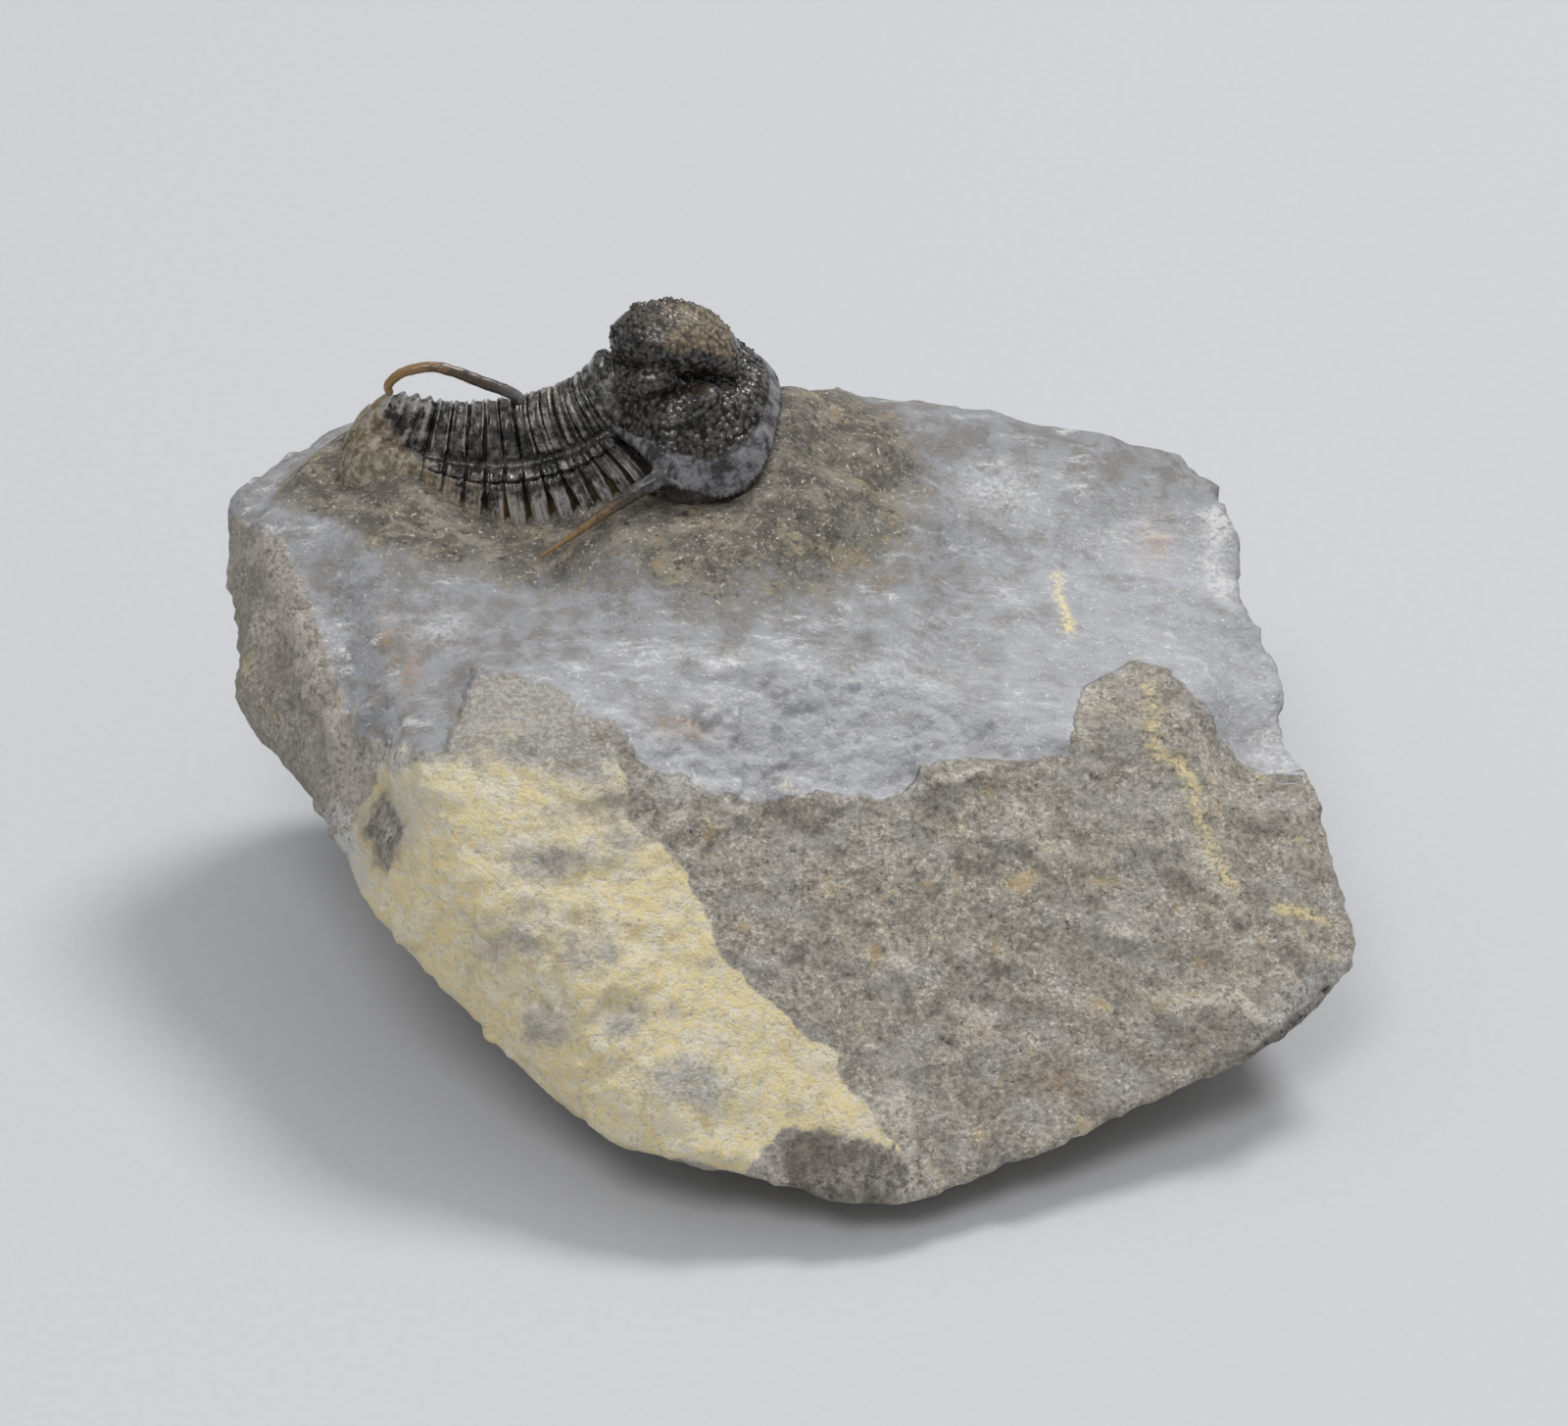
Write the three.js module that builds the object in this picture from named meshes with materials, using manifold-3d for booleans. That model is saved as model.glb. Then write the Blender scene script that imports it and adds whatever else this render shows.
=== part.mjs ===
// A small trilobite fossil, freed by hand from the top of a broken block of grey limestone.
// Millimetres, +Z up, the animal's head towards +X and its right side towards -Y.
import * as THREE from "three";
import { mergeVertices } from "three/addons/utils/BufferGeometryUtils.js";
import Module from "manifold-3d";

const wasm = await Module();
wasm.setup();

const vec = (x, y, z) => new THREE.Vector3(x, y, z);
const rad = THREE.MathUtils.degToRad;
const lerp = THREE.MathUtils.lerp;
const hill = (x) => Math.exp(-x * x);
const smoothstep = (low, high, x) => THREE.MathUtils.smoothstep(x, low, high);

// Driving sizes of the animal
const bendRadius = 11; // the back is hollow, bent round a point above it
const neckBend = rad(37);
const tailBend = rad(-15);
const segmentCount = 11;
const jointGap = 0.02;
const restGap = 0.04; // between the animal and the stone under it
const pitchGrowth = 0.19; // the segments grow longer toward the tail
const pleuralSweep = rad(4); // the pleurae by the head are swept forward
const tailWidth = 0.68; // of the widest part of the thorax
const tailHeight = 0.93;
const pygidiumLength = 3.36;
const tailEndHeight = 0.4;

// The animal on the block: its origin is the lowest point of the thorax's base line
const animalOrigin = vec(-15.32, 6, 24.3);
const thoraxRoll = rad(5);
const headRoll = rad(7);
const headPitch = rad(10);

// The frame of the animal: forward, to its right, and up, for a given roll
function bodyAxes(roll, pitch = 0) {
  const right = vec(0, -Math.cos(roll), -Math.sin(roll));
  const level = vec(0, -Math.sin(roll), Math.cos(roll));
  const forward = vec(Math.cos(pitch), 0, 0).addScaledVector(level, Math.sin(pitch));
  const up = level.multiplyScalar(Math.cos(pitch)).add(vec(-Math.sin(pitch), 0, 0));
  return { forward, right, up };
}
const thoraxAxes = bodyAxes(thoraxRoll);
const headAxes = bodyAxes(headRoll, headPitch);

const inFrame = (origin, axes, along, side, height) =>
  origin
    .clone()
    .addScaledVector(axes.forward, along)
    .addScaledVector(axes.right, side)
    .addScaledVector(axes.up, height);

// A point of the thorax: bend is the angle round the bend's centre
function thoraxPoint(bend, side, height) {
  const reach = bendRadius - height;
  const along = reach * Math.sin(bend);
  return inFrame(animalOrigin, thoraxAxes, along, side, bendRadius - reach * Math.cos(bend));
}
const grownAt = (bend) => smoothstep(tailBend - 0.1, rad(12), bend);
const widthAt = (bend) => lerp(tailWidth, 1, grownAt(bend));
const heightAt = (bend) => lerp(tailHeight, 1, grownAt(bend));

// A point of a segment's own arch, widened, raised and swept as its place in the thorax asks
function archPoint(bend, side, height) {
  const sweep = pleuralSweep * smoothstep(rad(5), neckBend, bend);
  const toTip = smoothstep(2.2, 4.4, Math.abs(side));
  return thoraxPoint(bend + sweep * toTip, side * widthAt(bend), height * heightAt(bend));
}

const neck = thoraxPoint(neckBend, 0, 0);
const headPoint = (along, side, height) => inFrame(neck, headAxes, along, side, height);

// The block of stone: flat breaks round its heart, closed above by the prepared top
const blockHeart = vec(0, -7, 11);
const blockCrispness = 22;
const blockFineness = 12;
const blockFaces = [
  { name: "left front", faces: vec(-0.76, -0.47, 0.45), through: vec(-25.7, 1, 22) },
  { name: "front", faces: vec(0.18, -0.63, 0.755), through: vec(6.2, -29.8, 2) },
  { name: "front left", faces: vec(-0.4, -0.84, 0.365), through: vec(-10.5, -26.5, 4.5) },
  { name: "left", faces: vec(-1, -0.1, -0.12), through: vec(-28.6, 4, 20) },
  { name: "right", faces: vec(0.96, 0.25, -0.1), through: vec(25, -2, 16) },
  { name: "back", faces: vec(0.05, 1, -0.12), through: vec(0, 12.2, 18) },
  { name: "back left", faces: vec(-0.7, 0.72, 0), through: vec(-26.9, 9.7, 20) },
  { name: "under right front", faces: vec(0.29, -0.25, -0.92), through: vec(6.2, -29.8, 2) },
  { name: "under left front", faces: vec(-0.22, -0.41, -0.885), through: vec(6.2, -29.8, 2) },
  { name: "under left", faces: vec(-0.65, -0.19, -0.73), through: vec(-20.3, -18.8, 11.4) },
  { name: "under right", faces: vec(0.8, 0, -0.6), through: vec(27.5, -16, 7) },
  { name: "under back", faces: vec(0, 0.6, -0.8), through: vec(0, 10, 5) },
  { name: "base", faces: vec(0, 0, -1), through: vec(0, 0, -1) },
].map((face) => {
  const out = face.faces.clone().normalize();
  return { out, reach: out.dot(face.through.clone().sub(blockHeart)) };
});

// Heights of the top: round its edge, over the open ground, and up to the animal
const topHeights = [
  ...[[-28, 6, 21.2], [-26.8, 8.5, 21.4], [-25.1, 10, 21.9], [-22.9, 11, 22.3], [-20.9, 11.3, 22.2]],
  ...[[-16, 12, 22.6], [-10, 12, 23.3], [-4, 12, 24.1], [0, 11.5, 24.1], [5.1, 11.5, 23.8]],
  ...[[10.1, 11.2, 23.5], [12.6, 11, 22.7], [15.2, 11, 22.5], [19.2, 10.5, 21.6], [22.5, 9.5, 20.2]],
  ...[[-25.2, 1, 22], [-24.6, -1, 21.2], [-22.9, -5, 19.6], [-22, -8, 18.6], [-17.8, -10.2, 19.9]],
  ...[[-13.4, -10.5, 20.7], [-8.6, -13.2, 19.8], [-4.7, -16, 19.1], [0, -17, 19.1], [6.6, -16, 18.5]],
  ...[[12.4, -13.5, 17], [16.9, -5.5, 17.6], [19.4, -5.5, 17.6], [23.8, -8, 13.3], [24.9, -1.9, 16]],
  ...[[-22.3, 4, 22.8], [-19.6, -1, 22.3], [-19.4, -6, 20.8], [-14.6, -6, 20.8], [-9.7, -6, 20.8]],
  ...[[-11.8, -2.5, 20.5], [-4.8, -6.5, 21.1], [-5, -3.6, 21.8], [2.4, -5, 20.7], [5, -2, 20.6]],
  ...[[9.9, 0, 19.8], [9.8, -6, 18.6], [10, 6, 21.7], [17.4, 1, 18.8], [22.4, 2, 18.2]],
  ...[[-7.8, -0.6, 24.3], [-9.9, -1.1, 23.2], [-12.2, -1.7, 21.9], [-5.5, -0.8, 23.9]],
  ...[[-17.5, 2.7, 23.3], [-18.4, 3.4, 24.1], [-19.4, 4.4, 24.8], [-20.4, 5.6, 25.1]],
  ...[[-20.3, 7.4, 24.7], [-19, 9.2, 24.4], [-21.4, 6, 24.1]],
  ...[[-3.6, -1, 23.6], [-3.6, 0.8, 23.7], [-1, 1.2, 24.3], [0, 3, 25.4], [0.4, 5.6, 26.4]],
  ...[[0.3, 8, 26.3], [-2, 9.5, 26], [-6, 10.5, 25.5], [2.5, 4.5, 23.9], [3.5, 7.5, 24.6], [6, 4, 22.4]],
].map((p) => vec(...p));
for (let bend = tailBend + rad(8); bend < neckBend; bend += rad(8))
  for (const [side, height] of [[4.4, -2], [0, -2], [-4.4, -2], [4.9, -2.2]])
    topHeights.push(thoraxPoint(bend, side * widthAt(bend), height * widthAt(bend)));

function topHeight(x, y) {
  const trend = (px, py) => 21.5 - 0.06 * px + 0.16 * py;
  let total = 0;
  let sum = 0;
  for (const p of topHeights) {
    const weight = ((p.x - x) ** 2 + (p.y - y) ** 2 + 1.6) ** -2;
    total += weight;
    sum += weight * (p.z - trend(p.x, p.y));
  }
  return trend(x, y) + sum / total;
}

// Lumps (+) and dents (-) that break the flat faces: place, depth and width
const lumps = [
  { at: vec(-26.5, -3, 13.6), rise: 1.3, over: 3 },
  { at: vec(-26.3, -3, 18), rise: -1.1, over: 1.6 },
  { at: vec(23, 3, 18), rise: -1, over: 2.4 },
  { at: vec(28, -16, 8), rise: 1.2, over: 3 },
  { at: vec(25, -6, 14), rise: -0.8, over: 3 },
  { at: vec(-22, -12, 9), rise: -0.6, over: 3 },
];

// Where the ray from the heart of the block leaves the broken stone
function blockSurface(direction, lift = 0) {
  const along = direction.clone().normalize();
  let sides = 0;
  for (const { out, reach } of blockFaces)
    sides += Math.max(0, along.dot(out) / reach) ** blockCrispness;
  const point = vec();
  let inner = 2;
  let outer = 60;
  for (let step = 0; step < 26; step++) {
    const far = (inner + outer) / 2;
    point.copy(blockHeart).addScaledVector(along, far);
    const above = (point.z - blockHeart.z) / (topHeight(point.x, point.y) - blockHeart.z);
    const filled = sides * far ** blockCrispness + Math.max(0, above) ** blockCrispness;
    if (filled < 1) inner = far;
    else outer = far;
  }
  for (const { at, rise, over } of lumps)
    point.addScaledVector(along, rise * hill(point.distanceTo(at) / over));
  point.z += lift;
  return point;
}

function solidOf(geometry) {
  const bare = geometry.clone();
  bare.deleteAttribute("normal");
  bare.deleteAttribute("uv");
  const merged = mergeVertices(bare, 1e-4);
  const mesh = new wasm.Mesh({
    numProp: 3,
    vertProperties: merged.getAttribute("position").array,
    triVerts: new Uint32Array(merged.index.array),
  });
  return new wasm.Manifold(mesh);
}

function geometryOf(solid) {
  const mesh = solid.getMesh();
  const geometry = new THREE.BufferGeometry();
  geometry.setAttribute("position", new THREE.BufferAttribute(mesh.vertProperties, 3));
  geometry.setIndex(new THREE.BufferAttribute(mesh.triVerts, 1));
  geometry.computeVertexNormals();
  return geometry;
}

// A closed skin through rings of points, each turning left-handed as seen from the next
function skinOver(rings) {
  const around = rings[0].length;
  const points = rings.flat();
  const middle = (ring) =>
    ring.reduce((sum, p) => sum.add(p), vec(0, 0, 0)).divideScalar(around);
  points.push(middle(rings[0]), middle(rings.at(-1)));
  const first = points.length - 2;
  const last = points.length - 1;
  const faces = [];
  for (let i = 0; i < around; i++) {
    const next = (i + 1) % around;
    faces.push(first, next, i);
    for (let k = 0; k < rings.length - 1; k++) {
      const [a, b] = [k * around, (k + 1) * around];
      faces.push(a + i, a + next, b + next, a + i, b + next, b + i);
    }
    const end = (rings.length - 1) * around;
    faces.push(last, end + i, end + next);
  }
  const geometry = new THREE.BufferGeometry().setFromPoints(points);
  geometry.setIndex(faces);
  return geometry;
}

function blockSolid(lift = 0) {
  const geometry = new THREE.IcosahedronGeometry(1, blockFineness);
  const corners = geometry.getAttribute("position");
  for (let i = 0; i < corners.count; i++) {
    const corner = blockSurface(vec().fromBufferAttribute(corners, i), lift);
    corners.setXYZ(i, corner.x, corner.y, corner.z);
  }
  const below = new THREE.BoxGeometry(200, 200, 50).translate(0, 0, -25);
  return solidOf(geometry).subtract(solidOf(below));
}

// Half of a segment's arch, from the ridge of the back to the tip of the rib
const archSide = new THREE.SplineCurve(
  [
    [0, 2.5],
    [0.75, 2.33],
    [1.4, 1.75],
    [1.8, 0.85],
    [2.0, 0.1],
    [2.35, 0.02],
    [2.9, 0],
    [3.5, -0.4],
    [4.05, -1.25],
    [4.4, -2.1],
    [4.5, -2.75],
  ].map(([side, height]) => new THREE.Vector2(side, height)),
);
const archSteps = 10;
const segmentStations = [
  { at: 0, rise: -0.14 },
  { at: 0.12, rise: 0.02 },
  { at: 0.5, rise: 0.05 },
  { at: 0.62, rise: -0.1 },
  { at: 0.76, rise: -0.02 },
  { at: 0.9, rise: -0.02 },
  { at: 1, rise: -0.14 },
];

const jointBend = (share) =>
  lerp(neckBend, tailBend, share * (1 - pitchGrowth + pitchGrowth * share));

// One segment of the thorax, or with room round it for the piece in front
function thoracicSegment(index, room = 0) {
  const gap = jointGap / bendRadius;
  const front = jointBend((index - 1) / segmentCount) - gap / 2 + room / bendRadius;
  const rear = jointBend(index / segmentCount) + gap / 2;
  const rings = segmentStations.map(({ at, rise }) => {
    const bend = lerp(front, rear, at);
    const ring = [];
    for (let k = -archSteps; k <= archSteps; k++) {
      const { x, y } = archSide.getPoint(Math.abs(k) / archSteps);
      ring.push(archPoint(bend, Math.sign(k) * (x + room), y + rise + room));
    }
    ring.push(archPoint(bend, 3.6, -4.2), archPoint(bend, 0, -4.4), archPoint(bend, -3.6, -4.2));
    return ring;
  });
  return solidOf(skinOver(rings.reverse()));
}

// The tail shield: the last arch drawn in to a point as it curves down on to the stone
function pygidium() {
  const stations = [
    { at: 0.01, rise: -0.14 },
    { at: 0.12, rise: 0.04 },
    { at: 0.24, rise: -0.08 },
    { at: 0.36, rise: 0.03 },
    { at: 0.5, rise: -0.04 },
    { at: 0.68, rise: 0 },
    { at: 0.86, rise: 0 },
    { at: 0.97, rise: 0 },
  ];
  const rings = stations.map(({ at, rise }) => {
    const turn = rad(90 * at);
    const bend = tailBend - Math.sin(turn) * pygidiumLength / bendRadius;
    const size = Math.cos(turn) ** 0.5;
    const ring = [];
    for (let k = -archSteps; k <= archSteps; k++) {
      const { x, y } = archSide.getPoint(Math.abs(k) / archSteps);
      const height = lerp(tailEndHeight, (y + rise) * tailHeight, size);
      ring.push(thoraxPoint(bend, Math.sign(k) * x * size * tailWidth, height));
    }
    for (const side of [3.6, 0, -3.6])
      ring.push(thoraxPoint(bend, side * size * tailWidth, lerp(tailEndHeight, -4.2, size) - 0.8));
    return ring;
  });
  return solidOf(skinOver(rings.reverse()));
}

// A round tapering spine along a path of [x, y, z, radius]
function spine(stops) {
  const around = 7;
  const path = new THREE.CatmullRomCurve3(stops.map(([x, y, z]) => vec(x, y, z)));
  const steps = (stops.length - 1) * 2;
  const rings = [];
  for (let i = 0; i <= steps; i++) {
    const middle = path.getPoint(i / steps);
    const along = path.getTangent(i / steps);
    const side = vec(0, 1, 0).cross(along).normalize();
    const other = along.clone().cross(side);
    const stop = Math.min(Math.floor(i / 2), stops.length - 2);
    const radius = lerp(stops[stop][3], stops[stop + 1][3], i / 2 - stop);
    const ring = [];
    for (let k = 0; k < around; k++) {
      const turn = (2 * Math.PI * k) / around;
      const spoke = side.clone().multiplyScalar(Math.cos(turn) * radius);
      ring.push(spoke.addScaledVector(other, Math.sin(turn) * radius).add(middle));
    }
    rings.push(ring);
  }
  return solidOf(skinOver(rings));
}

// The head's margin, from the middle of its rear edge round its right side to the front
const marginRight = [
  [-1.15, 0, 2.35],
  [-1.05, 0.8, 2.15],
  [-0.75, 1.45, 1.55],
  [-0.3, 1.85, 0.75],
  [0.05, 2.1, 0.2],
  [0.9, 3.4, 0.45],
  [1.9, 4.7, 0.25],
  [2.6, 5.75, -0.5],
  [3.25, 5.95, -0.87],
  [4.0, 5.85, -1.3],
  [4.8, 5.6, -1.99],
  [5.8, 5.2, -2.3],
  [6.7, 4.8, -2.1],
  [7.55, 4.0, -1.55],
  [8.1, 2.7, -1.0],
  [8.4, 1.2, -0.72],
  [8.5, 0, -0.57],
].map((p) => vec(...p));
const mirrored = (p) => vec(p.x, -p.y, p.z);
const marginCurve = new THREE.CatmullRomCurve3(
  [...marginRight, ...marginRight.slice(1, -1).reverse().map(mirrored)],
  true,
  "centripetal",
);
const marginSteps = 44;
const glabella = {
  along: 4,
  height: 3.85,
  length: 3.45,
  rearLength: 3.3,
  width: 2.1,
  rise: 1.7,
  droop: 1.1, // of its front end
  pitch: rad(-16),
};
const lobe = { at: [2.6, 1.95, 2.7], radii: [1.25, 0.85, 0.95] };
const eye = { at: [5.25, 2.85, 1.95], radii: [0.9, 0.85, 0.85] };

// From the furrow under the glabella out to the margin: share of the way, and share of the
// drop at the side and front of the head and at its rear
const cheekProfile = [
  [0.06, 0.2, 0.3],
  [0.22, 0.2, 0.5],
  [0.38, 0.22, 0.62],
  [0.54, 0.3, 0.74],
  [0.66, 0.44, 0.84],
  [0.75, 0.58, 0.95],
  [0.81, 0.68, 0.98],
  [0.89, 0.73, 0.93],
  [0.96, 0.82, 0.94],
  [1, 1, 1],
];

function headRings() {
  const spokes = [];
  for (let i = 0; i < marginSteps; i++) {
    const margin = marginCurve.getPoint(i / marginSteps);
    spokes.push({ margin, turn: Math.atan2(margin.y, margin.x - glabella.along) });
  }
  const domePoint = (turn, polar) => {
    const reach = Math.cos(turn) * Math.sin(polar);
    const along = reach * (reach > 0 ? glabella.length : glabella.rearLength);
    const height = glabella.rise * Math.cos(polar) - glabella.droop * Math.max(0, reach) ** 2;
    return vec(
      glabella.along + along * Math.cos(glabella.pitch) - height * Math.sin(glabella.pitch),
      glabella.width * Math.sin(turn) * Math.sin(polar),
      glabella.height + along * Math.sin(glabella.pitch) + height * Math.cos(glabella.pitch),
    );
  };
  const rings = [];
  for (const polar of [14, 34, 54, 74, 96, 118].map(rad))
    rings.push(spokes.map(({ turn }) => domePoint(turn, polar)));
  const rims = rings.at(-1);
  for (const [share, sideDrop, rearDrop] of cheekProfile)
    rings.push(
      spokes.map(({ margin, turn }, i) => {
        const p = rims[i].clone().lerp(margin, share);
        const toRear = smoothstep(rad(95), rad(135), Math.abs(turn));
        p.z = lerp(rims[i].z, margin.z, lerp(sideDrop, rearDrop, toRear));
        p.z += 0.65 * hill((p.x + 0.1) / 0.7) * hill(p.y / 1.8);
        return p;
      }),
    );
  for (const [share, fall] of [[0.95, 0.35], [0.86, 0.3], [0.8, 0]])
    rings.push(
      spokes.map(({ margin }) => {
        const floor = fall ? margin.z - fall : -6;
        return vec(lerp(3.1, margin.x, share), margin.y * share, floor);
      }),
    );
  return rings.map((ring) => ring.map((p) => headPoint(p.x, p.y, p.z)));
}

function headBall({ at, radii }, side) {
  const ball = new THREE.IcosahedronGeometry(1, 2);
  const corners = ball.getAttribute("position");
  for (let i = 0; i < corners.count; i++) {
    const p = vec().fromBufferAttribute(corners, i);
    const across = side * (at[1] + radii[1] * p.y * side);
    const corner = headPoint(at[0] + radii[0] * p.x, across, at[2] + radii[2] * p.z);
    corners.setXYZ(i, corner.x, corner.y, corner.z);
  }
  return solidOf(ball);
}

const genalRight = [
  [-5.9, 0.2, 25.85, 0.45],
  [-6.9, -0.2, 25.5, 0.42],
  [-7.7, -0.45, 25.05, 0.38],
  [-8.6, -0.7, 24.5, 0.3],
  [-10.6, -1.3, 23.2, 0.17],
  [-12.2, -1.7, 22.25, 0.07],
];
const genalLeft = [
  [-5.9, 11.2, 27.75, 0.42],
  [-7.2, 11.4, 26.9, 0.34],
  [-8.9, 11.3, 25.8, 0.24],
  [-10.8, 11.3, 24.6, 0.15],
  [-12.2, 11.2, 23.7, 0.07],
];

function cephalon() {
  const ahead = thoraxAxes.forward.clone().multiplyScalar(Math.cos(neckBend));
  ahead.addScaledVector(thoraxAxes.up, Math.sin(neckBend));
  let head = solidOf(skinOver(headRings().reverse()));
  for (const side of [-1, 1])
    head = head.add(headBall(lobe, side)).add(headBall(eye, side));
  head = head.trimByPlane(ahead.toArray(), ahead.dot(neck) + jointGap);
  head = head.subtract(thoracicSegment(1, 2 * jointGap));
  return head.add(spine(genalRight)).add(spine(genalLeft));
}

// The long spine on the back of the sixth ring, arched over the rear of the thorax
const axialSpine = [
  [-13.15, 5.85, 26.0, 0.26],
  [-13.27, 5.85, 26.55, 0.28],
  [-13.42, 5.85, 27.1, 0.3],
  [-13.95, 5.85, 27.5, 0.33],
  [-14.7, 5.85, 27.82, 0.32],
  [-15.6, 5.85, 28.2, 0.31],
  [-16.55, 5.85, 28.6, 0.29],
  [-17.4, 5.85, 28.87, 0.28],
  [-18.15, 5.85, 28.88, 0.27],
  [-19.1, 5.85, 28.65, 0.26],
  [-19.67, 5.85, 28.27, 0.25],
  [-20.0, 5.85, 27.83, 0.24],
  [-19.92, 5.85, 27.4, 0.24],
];

const stone = new THREE.MeshStandardMaterial({ color: 0x8a8883, roughness: 0.9, metalness: 0 });
const shell = new THREE.MeshStandardMaterial({ color: 0x2b2a2c, roughness: 0.5, metalness: 0 });

const fossil = new THREE.Group();
function add(name, solid, material) {
  const mesh = new THREE.Mesh(geometryOf(solid), material);
  mesh.name = name;
  fossil.add(mesh);
}

add("matrix", blockSolid(), stone);
const stoneUnder = blockSolid(restGap);
const rested = (solid) => {
  const pieces = solid.subtract(stoneUnder).decompose();
  return pieces.sort((a, b) => b.volume() - a.volume())[0];
};
add("cephalon", rested(cephalon()), shell);
for (let index = 1; index <= segmentCount; index++) {
  let segment = rested(thoracicSegment(index));
  if (index === 6) segment = segment.add(spine(axialSpine));
  add(`thoracic_segment_${String(index).padStart(2, "0")}`, segment, shell);
}
add("pygidium", rested(pygidium()), shell);

// The origin goes to the middle of the footprint, at the table
const extent = new THREE.Box3().setFromObject(fossil, true);
const middle = extent.getCenter(vec());
for (const mesh of fossil.children)
  mesh.geometry.translate(-middle.x, -middle.y, -extent.min.z);

export default fossil;
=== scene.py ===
import bpy
import math
import numpy as np
from itertools import product
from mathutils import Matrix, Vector


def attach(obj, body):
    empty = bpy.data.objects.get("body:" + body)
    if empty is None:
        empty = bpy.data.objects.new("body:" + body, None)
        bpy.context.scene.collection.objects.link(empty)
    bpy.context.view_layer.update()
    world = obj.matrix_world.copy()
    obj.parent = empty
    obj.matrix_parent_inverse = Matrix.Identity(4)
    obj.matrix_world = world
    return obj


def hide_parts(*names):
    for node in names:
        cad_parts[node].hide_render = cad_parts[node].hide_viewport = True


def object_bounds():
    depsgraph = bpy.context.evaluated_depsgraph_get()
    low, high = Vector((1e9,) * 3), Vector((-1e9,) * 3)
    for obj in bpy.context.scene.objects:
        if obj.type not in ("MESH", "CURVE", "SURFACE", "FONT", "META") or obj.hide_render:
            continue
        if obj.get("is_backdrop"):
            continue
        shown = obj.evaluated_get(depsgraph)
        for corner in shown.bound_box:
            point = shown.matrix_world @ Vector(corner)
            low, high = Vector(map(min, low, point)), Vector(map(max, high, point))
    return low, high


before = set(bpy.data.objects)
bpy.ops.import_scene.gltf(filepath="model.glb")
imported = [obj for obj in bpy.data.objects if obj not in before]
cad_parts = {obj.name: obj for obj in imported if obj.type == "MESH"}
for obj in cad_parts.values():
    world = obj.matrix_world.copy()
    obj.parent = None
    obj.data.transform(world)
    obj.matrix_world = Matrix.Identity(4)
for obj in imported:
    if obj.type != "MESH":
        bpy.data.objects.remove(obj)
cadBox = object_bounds()
print("loaded the frame")

# Everything below is drawn in millimetres as the photo sees it (x right, y away, z up)
# and moved by this much into the part's own frame.
toPart = np.array([0.34, 7.855, 0.0])
mm = 0.001


def unit(v):
    return v / np.maximum(np.linalg.norm(v, axis=-1, keepdims=True), 1e-12)


def smooth(low, high, x):
    t = np.clip((x - low) / (high - low), 0, 1)
    return t * t * (3 - 2 * t)


def hill(x):
    return np.exp(-x * x)


def scatter(cells, seed):  # a number from 0 to 1 for each cell of a grid, made by mixing its bits
    mask = np.int64(0xFFFFFFFF)
    x = (cells[..., 0] * 73856093) ^ (cells[..., 1] * 19349663) ^ (cells[..., 2] * 83492791)
    x = (x ^ np.int64(seed * 668265263)) & mask
    for shift, factor in ((15, 2246822519), (13, 3266489917)):
        x = ((x ^ (x >> shift)) * factor) & mask
    return (x ^ (x >> 16)) / 2 ** 32


def grain(points, size, seed):  # one octave of soft noise, -1 to 1
    q = points / size + seed * 13.7
    base = np.floor(q).astype(np.int64)
    f = q - base
    f = f * f * (3 - 2 * f)
    out = np.zeros(len(points))
    for dx, dy, dz in product((0, 1), repeat=3):
        w = (f[:, 0] if dx else 1 - f[:, 0]) * (f[:, 1] if dy else 1 - f[:, 1])
        w = w * (f[:, 2] if dz else 1 - f[:, 2])
        out += w * scatter(base + np.array([dx, dy, dz]), seed)
    return out * 2 - 1


def rough(points, size, octaves, seed):  # soft noise with finer and fainter noise on it, -1 to 1
    shares = [0.55 ** k for k in range(octaves)]
    out = sum(share * grain(points, size * 0.47 ** k, seed + k) for k, share in enumerate(shares))
    return out / sum(shares)


def beads(points, size, seed):  # distance to the nearest scattered seed, in sizes, and its own number
    q = points / size
    base = np.floor(q).astype(np.int64)
    best = np.full(len(points), 9.0)
    tag = np.zeros(len(points))
    for offset in product((-1, 0, 1), repeat=3):
        cell = base + np.array(offset)
        spot = cell + np.stack([scatter(cell, seed + k) for k in (1, 2, 3)], -1) * 0.8 + 0.1
        far = np.linalg.norm(q - spot, axis=1)
        near = far < best
        best = np.where(near, far, best)
        tag = np.where(near, scatter(cell, seed + 4), tag)
    return best, tag


def throughPoints(stops, u):  # a smooth curve through evenly numbered stops, u from 0 to 1
    stops = np.asarray(stops, float)
    last = len(stops) - 1
    p = np.clip(u, 0, 1) * last
    i = np.minimum(np.floor(p).astype(int), last - 1)
    t = (p - i)[..., None]
    a, b = stops[np.maximum(i - 1, 0)], stops[i]
    c, d = stops[i + 1], stops[np.minimum(i + 2, last)]
    v, w = (c - a) / 2, (d - b) / 2
    return (2 * b - 2 * c + v + w) * t ** 3 + (-3 * b + 3 * c - 2 * v - w) * t ** 2 + v * t + b


def rodDistance(points, stops):  # distance to a bent rod; the last number of each stop is its radius
    stops = np.array(stops, float)
    best = np.full(len(points), 1e9)
    for a, b in zip(stops[:-1], stops[1:]):
        run = (b - a)[:-1]
        off = points - a[:-1]
        share = np.clip(off @ run / (run @ run), 0, 1)
        gap = np.linalg.norm(off - share[:, None] * run, axis=1)
        best = np.minimum(best, gap - (a[-1] + (b[-1] - a[-1]) * share))
    return best


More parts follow.
